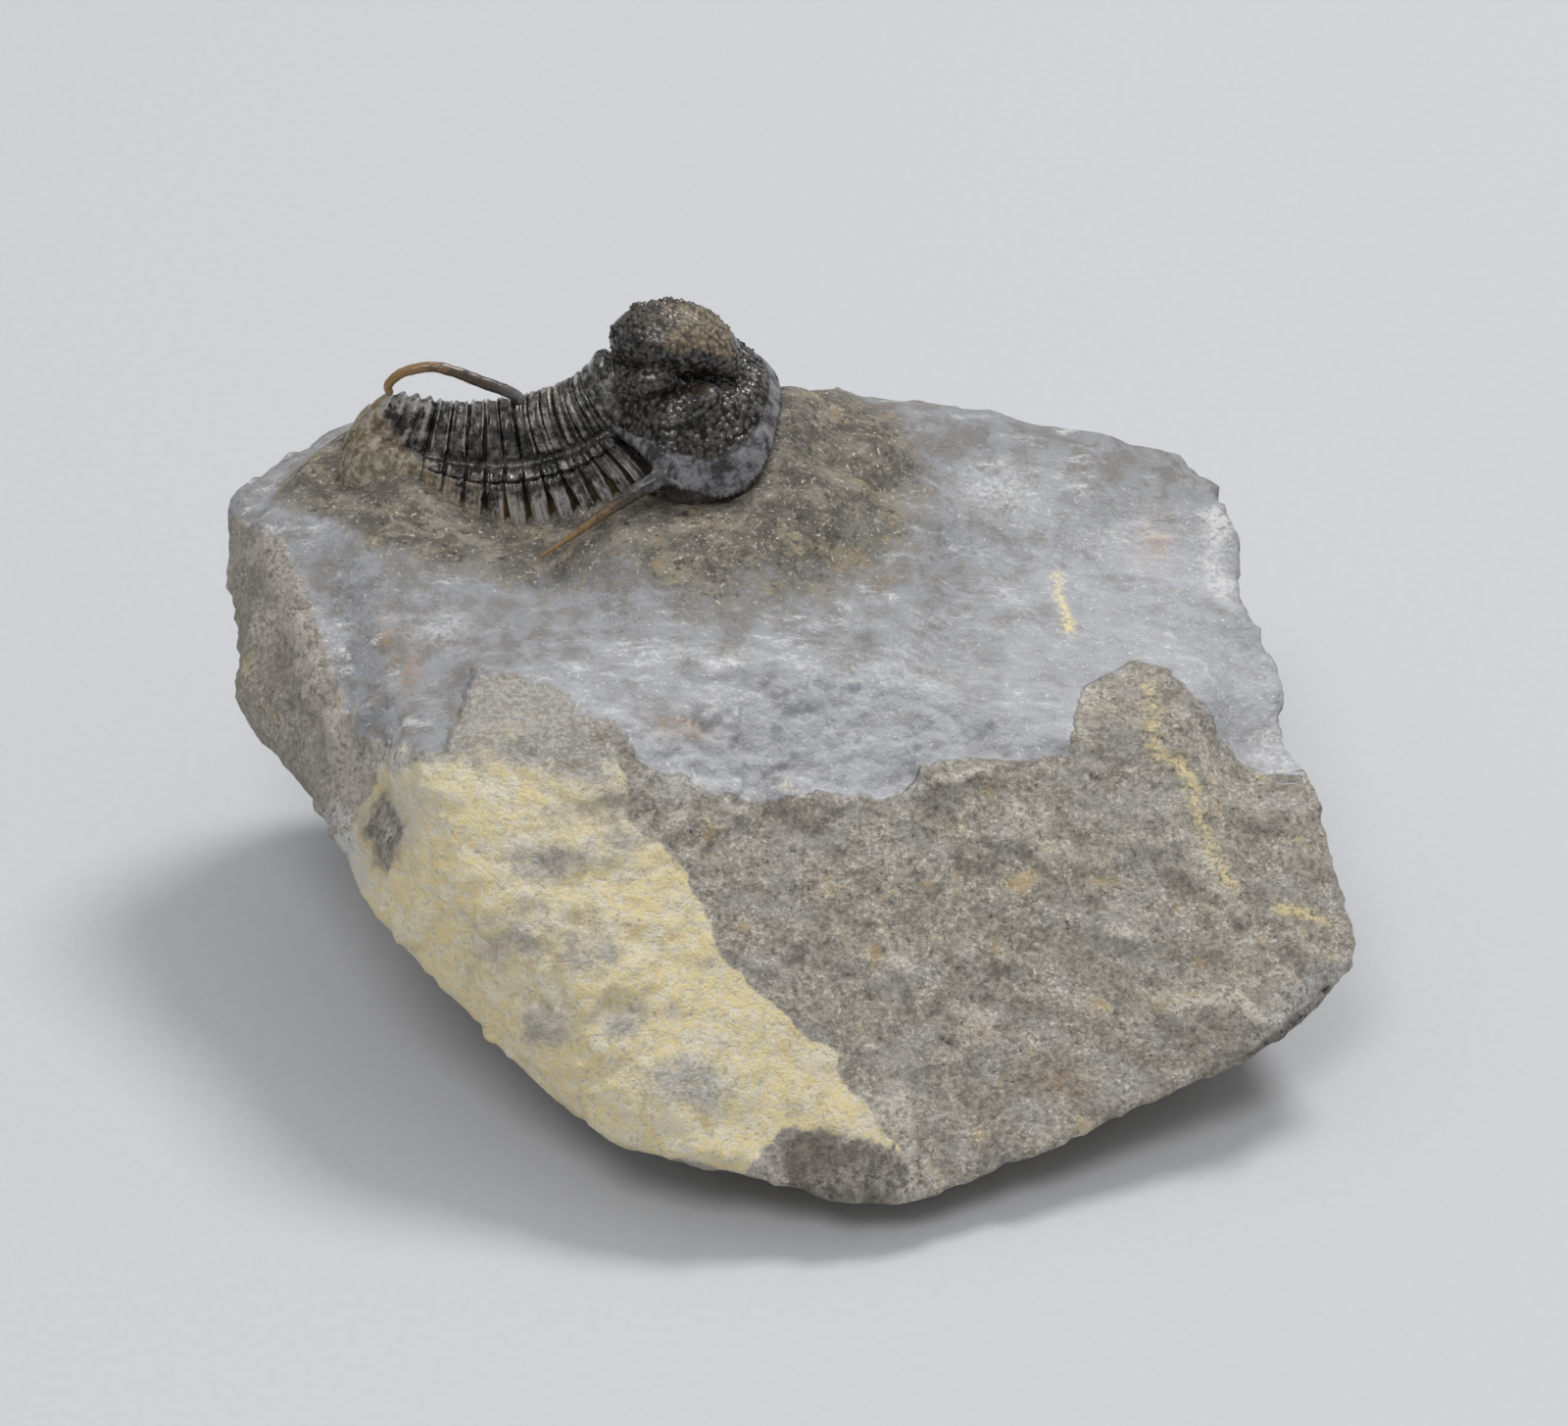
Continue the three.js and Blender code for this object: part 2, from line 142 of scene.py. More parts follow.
def makePiece(name, points, faces, material, standsFor, paints=None):
    mesh = bpy.data.meshes.new(name)
    groups = [np.asarray(group, np.int32) for group in (faces if isinstance(faces, list) else [faces])]
    corners = np.concatenate([group.ravel() for group in groups])
    sides = np.concatenate([np.full(len(group), group.shape[1], np.int32) for group in groups])
    mesh.vertices.add(len(points))
    mesh.vertices.foreach_set("co", ((points + toPart) * mm).astype(np.float32).ravel())
    mesh.loops.add(len(corners))
    mesh.loops.foreach_set("vertex_index", corners)
    mesh.polygons.add(len(sides))
    mesh.polygons.foreach_set("loop_start", np.cumsum(sides, dtype=np.int32) - sides)
    mesh.polygons.foreach_set("use_smooth", np.ones(len(sides), bool))
    mesh.update(calc_edges=True)
    for key, values in (paints or {}).items():
        values = np.asarray(values, np.float32)
        kind = "FLOAT" if values.ndim == 1 else "FLOAT_VECTOR"
        layer = mesh.attributes.new(key, kind, "POINT")
        layer.data.foreach_set("value" if values.ndim == 1 else "vector", values.ravel())
    mesh.validate()
    mesh.materials.append(material)
    piece = bpy.data.objects.new(name, mesh)
    bpy.context.scene.collection.objects.link(piece)
    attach(piece, "root")
    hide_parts(*standsFor)
    print("made", name, len(points), "points", int((sides - 2).sum()), "triangles")
    return piece


def pointNormals(points, faces):
    faces = np.asarray(faces)
    out = np.zeros_like(points)
    a, b, c = points[faces[:, 0]], points[faces[:, 1]], points[faces[:, 2]]
    if faces.shape[1] == 4:
        cross = np.cross(c - a, points[faces[:, 3]] - b)
    else:
        cross = np.cross(b - a, c - a)
    for k in range(faces.shape[1]):
        for axis in range(3):
            out[:, axis] += np.bincount(faces[:, k], cross[:, axis], len(points))
    return unit(out)


# The animal's own frame.

body = {
    "bendRadius": 11.0,
    "neckBend": math.radians(37),
    "tailBend": math.radians(-15),
    "segments": 11,
    "pitchGrowth": 0.19,  # the segments grow longer toward the tail
    "pleuralSweep": math.radians(4),  # forward, beside the head
    "tailWidth": 0.68,
    "tailHeight": 0.93,
    "tailEndHeight": 0.4,
    "origin": (-15.32, 6, 24.3),
    "thoraxRoll": math.radians(5),
    "headRoll": math.radians(7),
    "headPitch": math.radians(10),
}


def bodyAxes(roll, pitch=0.0):
    right = np.array([0, -math.cos(roll), -math.sin(roll)])
    level = np.array([0, -math.sin(roll), math.cos(roll)])
    ahead = np.array([1.0, 0, 0])
    forward = ahead * math.cos(pitch) + level * math.sin(pitch)
    up = level * math.cos(pitch) - ahead * math.sin(pitch)
    return np.array([forward, right, up])


thoraxAxes = bodyAxes(body["thoraxRoll"])
headAxes = bodyAxes(body["headRoll"], body["headPitch"])


def thoraxPoint(bend, side, height):
    reach = body["bendRadius"] - height
    up = body["bendRadius"] - reach * np.cos(bend)
    own = np.stack(np.broadcast_arrays(reach * np.sin(bend), side, up), -1)
    return own @ thoraxAxes + np.array(body["origin"])


neck = thoraxPoint(body["neckBend"], 0.0, 0.0)


def headPoint(own):
    return own @ headAxes + neck


def grownAt(bend, atTail):  # a measure's share of its full size, from the tail forward
    return atTail + (1 - atTail) * smooth(body["tailBend"] - 0.1, math.radians(12), bend)


def widthAt(bend):
    return grownAt(bend, body["tailWidth"])


def heightAt(bend):
    return grownAt(bend, body["tailHeight"])


def sweepAt(bend, side):
    sweep = body["pleuralSweep"] * smooth(math.radians(5), body["neckBend"], bend)
    return sweep * smooth(2.2, 4.4, np.abs(side))


def archPoint(bend, side, height):  # on a segment's own arch, widened, raised and swept as its place asks
    return thoraxPoint(bend + sweepAt(bend, side), side * widthAt(bend), height * heightAt(bend))


def jointBend(share):
    grown = share * (1 - body["pitchGrowth"] + body["pitchGrowth"] * share)
    return body["neckBend"] + (body["tailBend"] - body["neckBend"]) * grown


# The block of stone.

stone = {
    "heart": (0, -7, 11),
    "crispness": 22,
    "detail": 97,
    "facing": 0.34,  # how much finer the mesh is on the side that faces the camera
    "faces": [  # outward direction and a point of each break
        ((-0.76, -0.47, 0.45), (-25.7, 1, 22)),
        ((0.18, -0.63, 0.755), (6.2, -29.8, 2)),
        ((-0.4, -0.84, 0.365), (-10.5, -26.5, 4.5)),
        ((-1, -0.1, -0.12), (-28.6, 4, 20)),
        ((0.96, 0.25, -0.1), (25, -2, 16)),
        ((0.05, 1, -0.12), (0, 12.2, 18)),
        ((-0.7, 0.72, 0), (-26.9, 9.7, 20)),
        ((0.29, -0.25, -0.92), (6.2, -29.8, 2)),
        ((-0.22, -0.41, -0.885), (6.2, -29.8, 2)),
        ((-0.65, -0.19, -0.73), (-20.3, -18.8, 11.4)),
        ((0.8, 0, -0.6), (27.5, -16, 7)),
        ((0, 0.6, -0.8), (0, 10, 5)),
        ((0, 0, -1), (0, 0, -1)),
    ],
    "heights": [  # of the prepared top
        (-28, 6, 21.2), (-26.8, 8.5, 21.4), (-25.1, 10, 21.9), (-22.9, 11, 22.3), (-20.9, 11.3, 22.2),
        (-16, 12, 22.6), (-10, 12, 23.3), (-4, 12, 24.1), (0, 11.5, 24.1), (5.1, 11.5, 23.8),
        (10.1, 11.2, 23.5), (12.6, 11, 22.7), (15.2, 11, 22.5), (19.2, 10.5, 21.6), (22.5, 9.5, 20.2),
        (-25.2, 1, 22), (-24.6, -1, 21.2), (-22.9, -5, 19.6), (-22, -8, 18.6), (-17.8, -10.2, 19.9),
        (-13.4, -10.5, 20.7), (-8.6, -13.2, 19.8), (-4.7, -16, 19.1), (0, -17, 19.1), (6.6, -16, 18.5),
        (12.4, -13.5, 17), (16.9, -5.5, 17.6), (19.4, -5.5, 17.6), (23.8, -8, 13.3), (24.9, -1.9, 16),
        (-22.3, 4, 22.8), (-19.6, -1, 22.3), (-19.4, -6, 20.8), (-14.6, -6, 20.8), (-9.7, -6, 20.8),
        (-11.8, -2.5, 20.5), (-4.8, -6.5, 21.1), (-5, -3.6, 21.8), (2.4, -5, 20.7), (5, -2, 20.6),
        (9.9, 0, 19.8), (9.8, -6, 18.6), (10, 6, 21.7), (17.4, 1, 18.8), (22.4, 2, 18.2),
        (-7.8, -0.6, 24.3), (-9.9, -1.1, 23.2), (-12.2, -1.7, 21.9), (-5.5, -0.8, 23.9),
        (-17.5, 2.7, 23.3), (-18.4, 3.4, 24.1), (-19.4, 4.4, 24.8), (-20.4, 5.6, 25.1),
        (-20.3, 7.4, 24.7), (-19, 9.2, 24.4), (-21.4, 6, 24.1),
        (-3.6, -1, 23.6), (-3.6, 0.8, 23.7), (-1, 1.2, 24.3), (0, 3, 25.4), (0.4, 5.6, 26.4),
        (0.3, 8, 26.3), (-2, 9.5, 26), (-6, 10.5, 25.5), (2.5, 4.5, 23.9), (3.5, 7.5, 24.6), (6, 4, 22.4),
    ],
    "lumps": [  # place, rise or dent, width
        ((-26.5, -3, 13.6), 1.3, 3), ((-26.3, -3, 18), -1.1, 1.6), ((23, 3, 18), -1, 2.4),
        ((28, -16, 8), 1.2, 3), ((25, -6, 14), -0.8, 3), ((-22, -12, 9), -0.6, 3),
    ],
    "footprint": [  # x, y and half width of the animal where it meets the stone
        (-20.5, 6.0, 2.6), (-17, 6.0, 4.0), (-12, 6.0, 4.6), (-8, 6.0, 4.7), (-4, 6.0, 5.6),
    ],
    "chipRelief": 0.5,
    "bedRelief": 0.05,
    "pitRelief": 0.3,
    "cragRelief": 0.3,
    "plateRelief": 0.4,
    "ledgeRelief": 0.5,
    "waveRelief": 0.18,  # these two are on the prepared top
    "tooledRelief": 0.13,
}


def topStops():
    stops = list(stone["heights"])
    bend = body["tailBend"] + math.radians(8)
    while bend < body["neckBend"]:
        size = float(widthAt(bend))
        for side, height in ((4.4, -2), (0, -2), (-4.4, -2), (4.9, -2.2)):
            stops.append(tuple(thoraxPoint(bend, side * size, height * size)))
        bend += math.radians(8)
    return np.array(stops)


def topHeight(x, y):
    stops = topStops()
    trend = lambda px, py: 21.5 - 0.06 * px + 0.16 * py
    total = np.zeros_like(x)
    sums = np.zeros_like(x)
    for px, py, pz in stops:
        weight = ((px - x) ** 2 + (py - y) ** 2 + 1.6) ** -2
        total += weight
        sums += weight * (pz - trend(px, py))
    return trend(x, y) + sums / total


class HeightSheet:  # the top's heights on a fine grid, read back between its points
    def __init__(self, low, high, step):
        self.low, self.step = np.array(low, float), step
        xs = np.arange(low[0], high[0], step)
        ys = np.arange(low[1], high[1], step)
        gx, gy = np.meshgrid(xs, ys, indexing="ij")
        self.values = topHeight(gx, gy)

    def at(self, x, y):
        p = (x - self.low[0]) / self.step
        q = (y - self.low[1]) / self.step
        i = np.clip(np.floor(p).astype(int), 0, self.values.shape[0] - 2)
        j = np.clip(np.floor(q).astype(int), 0, self.values.shape[1] - 2)
        s, t = np.clip(p - i, 0, 1), np.clip(q - j, 0, 1)
        v = self.values
        return (v[i, j] * (1 - s) * (1 - t) + v[i + 1, j] * s * (1 - t)
                + v[i, j + 1] * (1 - s) * t + v[i + 1, j + 1] * s * t)


topSheet = HeightSheet((-36, -38), (36, 20), 0.25)


def ballGrid(detail):  # directions and triangles of an evenly split icosahedron
    g = (1 + 5 ** 0.5) / 2
    corners = unit(np.array([(-1, g, 0), (1, g, 0), (-1, -g, 0), (1, -g, 0), (0, -1, g), (0, 1, g),
                             (0, -1, -g), (0, 1, -g), (g, 0, -1), (g, 0, 1), (-g, 0, -1), (-g, 0, 1)], float))
    sides = [(0, 11, 5), (0, 5, 1), (0, 1, 7), (0, 7, 10), (0, 10, 11), (1, 5, 9), (5, 11, 4),
             (11, 10, 2), (10, 7, 6), (7, 1, 8), (3, 9, 4), (3, 4, 2), (3, 2, 6), (3, 6, 8),
             (3, 8, 9), (4, 9, 5), (2, 4, 11), (6, 2, 10), (8, 6, 7), (9, 8, 1)]
    n = detail + 1
    spots = [(i, j) for i in range(n + 1) for j in range(n + 1 - i)]
    number = {s: k for k, s in enumerate(spots)}
    share = np.array([(i / n, j / n) for i, j in spots])
    tris = []
    for i in range(n):
        for j in range(n - i):
            tris.append((number[i, j], number[i + 1, j], number[i, j + 1]))
            if i + j < n - 1:
                tris.append((number[i + 1, j], number[i + 1, j + 1], number[i, j + 1]))
    tris = np.array(tris)
    allPoints, allTris = [], []
    for a, b, c in sides:
        p = corners[a] + (corners[b] - corners[a]) * share[:, :1] + (corners[c] - corners[a]) * share[:, 1:]
        allTris.append(tris + len(spots) * len(allPoints))
        allPoints.append(p)
    points = np.concatenate(allPoints)
    _, first, back = np.unique(np.round(points, 6), axis=0, return_index=True, return_inverse=True)
    return unit(points[first]), back.reshape(-1)[np.concatenate(allTris)]


def blockPoints(along):
    heart = np.array(stone["heart"], float)
    crisp = stone["crispness"]
    sides = np.zeros(len(along))
    for outward, through in stone["faces"]:
        out = unit(np.array(outward, float))
        sides += np.maximum(0, along @ out / (out @ (np.array(through) - heart))) ** crisp
    inner = np.full(len(along), 2.0)
    outer = np.full(len(along), 60.0)
    for _ in range(26):  # halves the range in which the surface lies
        far = (inner + outer) / 2
        p = heart + along * far[:, None]
        above = np.maximum(0, (p[:, 2] - heart[2]) / (topSheet.at(p[:, 0], p[:, 1]) - heart[2]))
        filled = sides * far ** crisp + above ** crisp < 1
        inner = np.where(filled, far, inner)
        outer = np.where(filled, outer, far)
    topShare = above ** crisp / (sides * far ** crisp + above ** crisp)
    for at, rise, over in stone["lumps"]:
        p = p + along * (rise * hill(np.linalg.norm(p - np.array(at), axis=1) / over))[:, None]
    return p, topShare


def animalDistance(points):  # how far a point of the stone is from the animal's outline
    return rodDistance(points[:, :2], stone["footprint"])


# Where the photo shows a point of the object.

photo = {
    "size": (1600, 1455),
    "elevation": math.radians(32),
    "distance": 330.0,
    "lens": 148.5,
    "film": 36.0,
    "target": (0.0, 0.0, 12.0),
}
towardCamera = np.array([0, -math.cos(photo["elevation"]), math.sin(photo["elevation"])])


def seenAt(points):
    rightward = np.array([1.0, 0, 0])
    upward = np.cross(towardCamera, rightward)
    off = points - (np.array(photo["target"]) + towardCamera * photo["distance"])
    wide, tall = photo["size"]
    zoom = wide * photo["lens"] / photo["film"] / -(off @ towardCamera)
    return np.stack([wide / 2 + zoom * (off @ rightward), tall / 2 - zoom * (off @ upward)], -1)


def facingCamera(normals):
    return smooth(-0.15, 0.1, normals @ towardCamera)


def lineDistance(spots, line):
    return rodDistance(spots, [(*stop, 0) for stop in line])


def insideOutline(spots, outline):  # distance to a closed outline, above zero inside it
    far = lineDistance(spots, [*outline, outline[0]])
    inside = np.zeros(len(spots), bool)
    for a, b in zip(outline, [*outline[1:], outline[0]]):
        if a[1] != b[1]:
            crosses = (a[1] > spots[:, 1]) != (b[1] > spots[:, 1])
            slope = (b[0] - a[0]) / (b[1] - a[1])
            inside ^= crosses & (spots[:, 0] < a[0] + (spots[:, 1] - a[1]) * slope)
    return np.where(inside, far, -far)


stoneZones = {  # outlines and lines in the photo's pixels
    "prepared": [  # the smooth, sand-blasted surface
        (200, 300), (232, 520), (262, 548), (290, 545), (300, 580), (330, 650), (345, 700), (365, 745),
        (395, 762), (452, 769), (470, 730), (484, 681), (530, 691), (563, 707), (592, 727), (625, 743),
        (661, 788), (727, 806), (804, 816), (865, 812), (916, 806), (937, 781), (988, 776), (1041, 777),
        (1090, 768), (1094, 729), (1114, 701), (1138, 685), (1160, 672), (1194, 689), (1218, 721),
        (1242, 753), (1262, 777), (1295, 793), (1315, 805), (1400, 700), (1300, 300),
    ],
    "yellow": [  # the ochre coat of the front left break
        (484, 681), (530, 691), (563, 707), (592, 727), (618, 760), (640, 800), (655, 850), (700, 890),
        (722, 945), (760, 1000), (840, 1070), (880, 1130), (930, 1175), (880, 1165), (800, 1155),
        (760, 1195), (650, 1180), (400, 1050), (350, 900), (362, 840), (388, 785), (452, 769),
    ],
    "softEdge": (520, 700, 130, 60),  # of the prepared surface: place, half width and half height
    "greyPatches": [(650, 830, 60, 60), (560, 840, 60, 40), (560, 885, 55, 38), (525, 955, 55, 52),
                    (600, 960, 40, 40), (550, 1050, 40, 45), (520, 720, 95, 50), (590, 780, 60, 45),
                    (690, 1100, 70, 40), (640, 1040, 40, 30)],
    "greyRim": (765, 805),  # the coat is grey above these rows
    # painted shade along the stone's lower front edge, where it turns under toward the table
    "shadePatch": [(795, 1165), (830, 1150), (880, 1165), (935, 1178), (950, 1200), (900, 1230), (800, 1220)],
    "leftChunk": [
        (225, 500), (262, 552), (290, 560), (300, 640), (330, 700), (352, 760), (345, 830), (380, 925),
        (330, 960), (200, 900),
    ],
    "pinkBands": [[(268, 560), (300, 620), (320, 680), (345, 745), (355, 790), (352, 850)]],
    "whiteEdges": [[(345, 835), (352, 860), (372, 900)], [(1243, 525), (1240, 560), (1245, 600)],
                   [(1365, 990), (1340, 1010), (1300, 1045)], [(1296, 740), (1303, 790)]],
    # painted shade in a hollow at the left and in an undercut at the lower right
    "shadeSpots": [(1312, 1066, 30, 20), (392, 848, 22, 34)],
    "yellowVeins": [[(1175, 700), (1180, 770), (1207, 780), (1215, 800), (1230, 850), (1252, 900)],
                    [(1078, 590), (1092, 640)], [(1305, 925), (1355, 940)]],
    "paleLedges": [[(1130, 948), (1170, 952)], [(1195, 1030), (1245, 1018), (1290, 1045)],
                   [(800, 800), (830, 830)], [(940, 800), (1010, 790)]],
    # painted shade along the fissures at the lower right
    "fissures": [[(1262, 1088), (1290, 1068), (1312, 1050), (1340, 1022), (1356, 1005)]],
    "rustSpots": [(1180, 548, 14, 26), (1008, 1052, 12, 8), (1080, 1105, 22, 14), (690, 740, 30, 14),
                  (400, 650, 8, 30), (420, 690, 10, 20)],
    "whiteSpots": [(450, 640, 30, 16), (735, 720, 22, 10), (915, 802, 22, 10), (730, 668, 60, 8),
                   (1020, 500, 40, 30), (1130, 550, 30, 12), (395, 775, 30, 16), (425, 825, 24, 40),
                   (700, 800, 40, 14), (900, 690, 60, 14)],
}
lineLook = {  # half width where a line fades out and where it is full, and its sway, in pixels
    "whiteEdges": (19, 5, 14),
    "pinkBands": (26, 6, 14),
    "yellowVeins": (9, 2, 7),
    "paleLedges": (9, 3, 9),
    "fissures": (8, 2, 9),
}


def spotShare(spots, u, v, wide, tall):
    return hill(np.hypot((spots[:, 0] - u) / wide, (spots[:, 1] - v) / tall))


def edgeWobble(points):
    return np.stack([rough(points, 1.6, 3, 60), rough(points, 1.6, 3, 70)], -1)


def stonePaints(points, normals, topShare):
    spots = seenAt(points)
    wobble = edgeWobble(points)
    ragged = spots + wobble * 14
    shown = facingCamera(normals)

    def inside(key, blur):
        return smooth(-blur, blur, insideOutline(ragged, stoneZones[key])) * shown

    def onSpots(key):
        return np.max([spotShare(ragged, *spot) for spot in stoneZones[key]], axis=0)

    def onLines(key):
        fade, full, sway = lineLook[key]
        swayed = spots + wobble * sway
        return smooth(fade, full, np.min([lineDistance(swayed, line) for line in stoneZones[key]], axis=0))

    prepared = inside("prepared", 6 + 20 * spotShare(spots, *stoneZones["softEdge"]))
    prepared = np.maximum(prepared, smooth(0.3, 0.7, topShare) * (1 - shown))
    # painted shade in hollows and along the lower edge; the ochre coat is kept off it
    paintedShade = np.maximum(inside("shadePatch", 5), onSpots("shadeSpots") * shown)
    yellow = inside("yellow", 8) * (1 - prepared) * (1 - paintedShade)
    rimTop, rimLow = stoneZones["greyRim"]
    grey = np.maximum(onSpots("greyPatches"), 1.25 * smooth(rimLow, rimTop, ragged[:, 1]))
    # pale rims of the plates on the breaks
    rim = smooth(0.18, 0.03, np.abs(brokenPlates(points) - 0.12))
    rim = rim * smooth(-0.1, 0.5, rough(points, 2.5, 2, 61))
    ledge = np.maximum(onLines("paleLedges") * shown, 0.9 * rim * (1 - prepared) * (1 - yellow))
    # stain round the animal, and frost in front of it
    x, y = points[:, 0], points[:, 1]
    near = animalDistance(points)
    reach = 6.8 + 2.4 * rough(points, 5, 2, 80) + 1.2 * smooth(-10, -3, x) - 3.2 * smooth(-19, -23, x)
    hollows = 0.15 * smooth(0.1, 0.9, rough(points, 3, 2, 90)) * smooth(-14, -20, x) * smooth(-6, 2, y)
    return {
        "prepared": prepared,
        "yellow": yellow,
        "grey": grey,
        "paintedShade": paintedShade,
        "chunk": inside("leftChunk", 5) * (1 - prepared),
        "white": np.maximum(onLines("whiteEdges"), 0.6 * onSpots("whiteSpots")) * shown,
        "pink": onLines("pinkBands") * shown,
        "vein": onLines("yellowVeins") * shown,
        "ledge": ledge,
        "rust": 0.5 * onSpots("rustSpots") * shown,
        # painted shade along the fissures
        "fissure": onLines("fissures") * shown,
        "stain": np.maximum(smooth(1, 0.15, near / reach), hollows) * prepared,
        "frost": smooth(4, 15, near) * smooth(9, 3, y) * smooth(-18, -6, x),
    }


def brokenPlates(points):  # above zero on the plates that stand proud of the breaks
    return rough(points, 4.5, 4, 77)


def stoneRelief(points, normals, topShare):
    near = animalDistance(points)
    broken = smooth(0.75, 0.25, topShare)
    under = smooth(-0.2, -0.6, normals[:, 2])
    beds = np.sin(points @ np.array([0.385, 0.55, 1.65]) + 2.4 * grain(points, 7, 8))
    pits = 0.5 - beads(points, 0.95, 40)[0]
    crags = np.abs(grain(points, 2.1, 21)) + 0.6 * np.abs(grain(points, 1.0, 22)) - 0.4
    onBreak = stone["chipRelief"] * rough(points, 6.5, 5, 3) + stone["bedRelief"] * beds
    onBreak += stone["pitRelief"] * pits + stone["cragRelief"] * crags
    onBreak += stone["plateRelief"] * (smooth(-0.1, 0.1, brokenPlates(points)) - 0.5)
    waves = rough(points * np.array([0.6, 1, 1]), 5, 4, 9) * smooth(0.0, 2.5, near)
    tooled = 0.7 * rough(points, 1.5, 3, 30) + 0.5 * np.abs(grain(points, 1.3, 33)) - 0.15
    onTop = stone["waveRelief"] * waves + stone["tooledRelief"] * tooled * smooth(-0.5, 0.6, near)
    relief = (broken * onBreak + (1 - broken) * onTop) * (1 - under * 0.5)
    spots = seenAt(points) + edgeWobble(points) * 9
    shown = facingCamera(normals)
    for key, fade, rise in (("paleLedges", 22, 1), ("fissures", 12, -0.6)):
        for line in stoneZones[key]:
            relief += rise * stone["ledgeRelief"] * smooth(fade, 2, lineDistance(spots, line)) * shown
    return relief


def makeBlock(material):
    along, tris = ballGrid(stone["detail"])
    along = unit(along + towardCamera * stone["facing"])
    points, topShare = blockPoints(along)
    normals = pointNormals(points, tris)
    points = points + normals * stoneRelief(points, normals, topShare)[:, None]
    # what lies below the table is drawn up to it, toward the heart
    heart = np.array(stone["heart"], float)
    low = points[:, 2] < 0
    drop = heart[2] / np.maximum(heart[2] - points[:, 2], 1e-9)
    points = np.where(low[:, None], heart + (points - heart) * drop[:, None], points)
    paints = stonePaints(points, normals, topShare)
    return makePiece("matrixStone", points, tris, material, ["matrix"], paints)


# Finishes.


class Finish:  # a material and short ways to add its nodes; sizes are in millimetres
    def __init__(self, name, tones):
        self.tones = tones
        self.material = bpy.data.materials.new(name)
        self.material.use_nodes = True
        self.tree = self.material.node_tree
        self.tree.nodes.clear()
        self.spot = self.make("ShaderNodeTexCoord", {}, out="Object")

    def make(self, kind, inputs, out=0, **settings):
        node = self.tree.nodes.new(kind)
        for key, value in settings.items():
            setattr(node, key, value)
        for key, value in inputs.items():
            if isinstance(value, bpy.types.NodeSocket):
                self.tree.links.new(value, node.inputs[key])
            else:
                node.inputs[key].default_value = value
        return node.outputs[out] if node.outputs else node

    def mask(self, name):  # one of the piece's paints
        return self.make("ShaderNodeAttribute", {}, out="Fac", attribute_name=name)

    def noise(self, size, detail, sharp=0.55, warp=0.0, shift=(0, 0, 0), scale=(1, 1, 1)):
        where = self.make("ShaderNodeMapping", {"Vector": self.spot, "Scale": scale, "Location": shift})
        return self.make("ShaderNodeTexNoise", {"Vector": where, "Scale": 1 / (size * mm), "Detail": detail,
                                                "Roughness": sharp, "Distortion": warp})

    def span(self, value, low, high, a=0.0, b=1.0):
        return self.make("ShaderNodeMapRange", {"Value": value, "From Min": low, "From Max": high,
                                                "To Min": a, "To Max": b}, interpolation_type="SMOOTHSTEP")

    def times(self, a, b):
        return self.make("ShaderNodeMath", {0: a, 1: b}, operation="MULTIPLY")

    def total(self, *parts, start=0.0):  # of sockets, each with its weight
        for value, weight in parts:
            start = self.make("ShaderNodeMath", {0: value, 1: weight, 2: start}, operation="MULTIPLY_ADD")
        return start

    def largest(self, first, *others):
        for other in others:
            first = self.make("ShaderNodeMath", {0: first, 1: other}, operation="MAXIMUM")
        return first

    def blend(self, share, a, b):  # tones are given by name
        a, b = ((*self.tones[tone], 1) if isinstance(tone, str) else tone for tone in (a, b))
        return self.make("ShaderNodeMix", {0: share, 6: a, 7: b}, out=2, data_type="RGBA")

    def coat(self, under, tone, value, low, high, full=1.0):  # a tone laid on as the value rises
        return self.blend(self.span(value, low, high, 0.0, full), under, tone)

    def bump(self, height, depth, strength):
        return self.make("ShaderNodeBump", {"Height": height, "Distance": depth * mm, "Strength": strength})

    def done(self, colour, roughness, normal, gloss=None):
        inputs = {"Base Color": colour, "Roughness": roughness, "Normal": normal, **(gloss or {})}
        self.make("ShaderNodeOutputMaterial", {"Surface": self.make("ShaderNodeBsdfPrincipled", inputs)})
        return self.material


stoneColours = {
    "greyBrown": (0.275, 0.265, 0.25),
    "blueGrey": (0.37, 0.37, 0.387),
    "frosted": (0.56, 0.56, 0.59),
    "olive": (0.12, 0.107, 0.084),
    "oliveLight": (0.32, 0.29, 0.235),
    "ochreWisp": (0.40, 0.29, 0.135),
    "brownDark": (0.29, 0.26, 0.215),
    "brown": (0.56, 0.51, 0.435),
    "tan": (0.90, 0.83, 0.71),
    "ochre": (0.68, 0.52, 0.28),
    # crack: painted shade in the gaps between grains, in small pits of the stain and along the fissures
    "crackShade": (0.045, 0.038, 0.03),
    # hollow: painted shade in hollows and under the stone's lower edge
    "hollow": (0.15, 0.13, 0.105),
    "crystal": (0.82, 0.80, 0.75),
    "yellow": (1.0, 0.84, 0.47),
    "straw": (1.0, 0.92, 0.74),
    "pale": (1.0, 0.96, 0.84),
    "grey": (0.62, 0.60, 0.585),
    "greyDark": (0.36, 0.345, 0.335),
    # pit: painted shade in the pits between the coat's crumbs
    "pitShade": (0.50, 0.39, 0.23),
    "rust": (0.52, 0.29, 0.11),
    "pink": (0.72, 0.64, 0.57),
    "white": (0.80, 0.79, 0.78),
}
zoneTones = {
    # the fissure tone is painted shade along the cracks; the others are the stone's own colours
    "pink": "pink", "white": "white", "ledge": "tan", "vein": "yellow", "rust": "rust", "fissure": "crackShade",
}


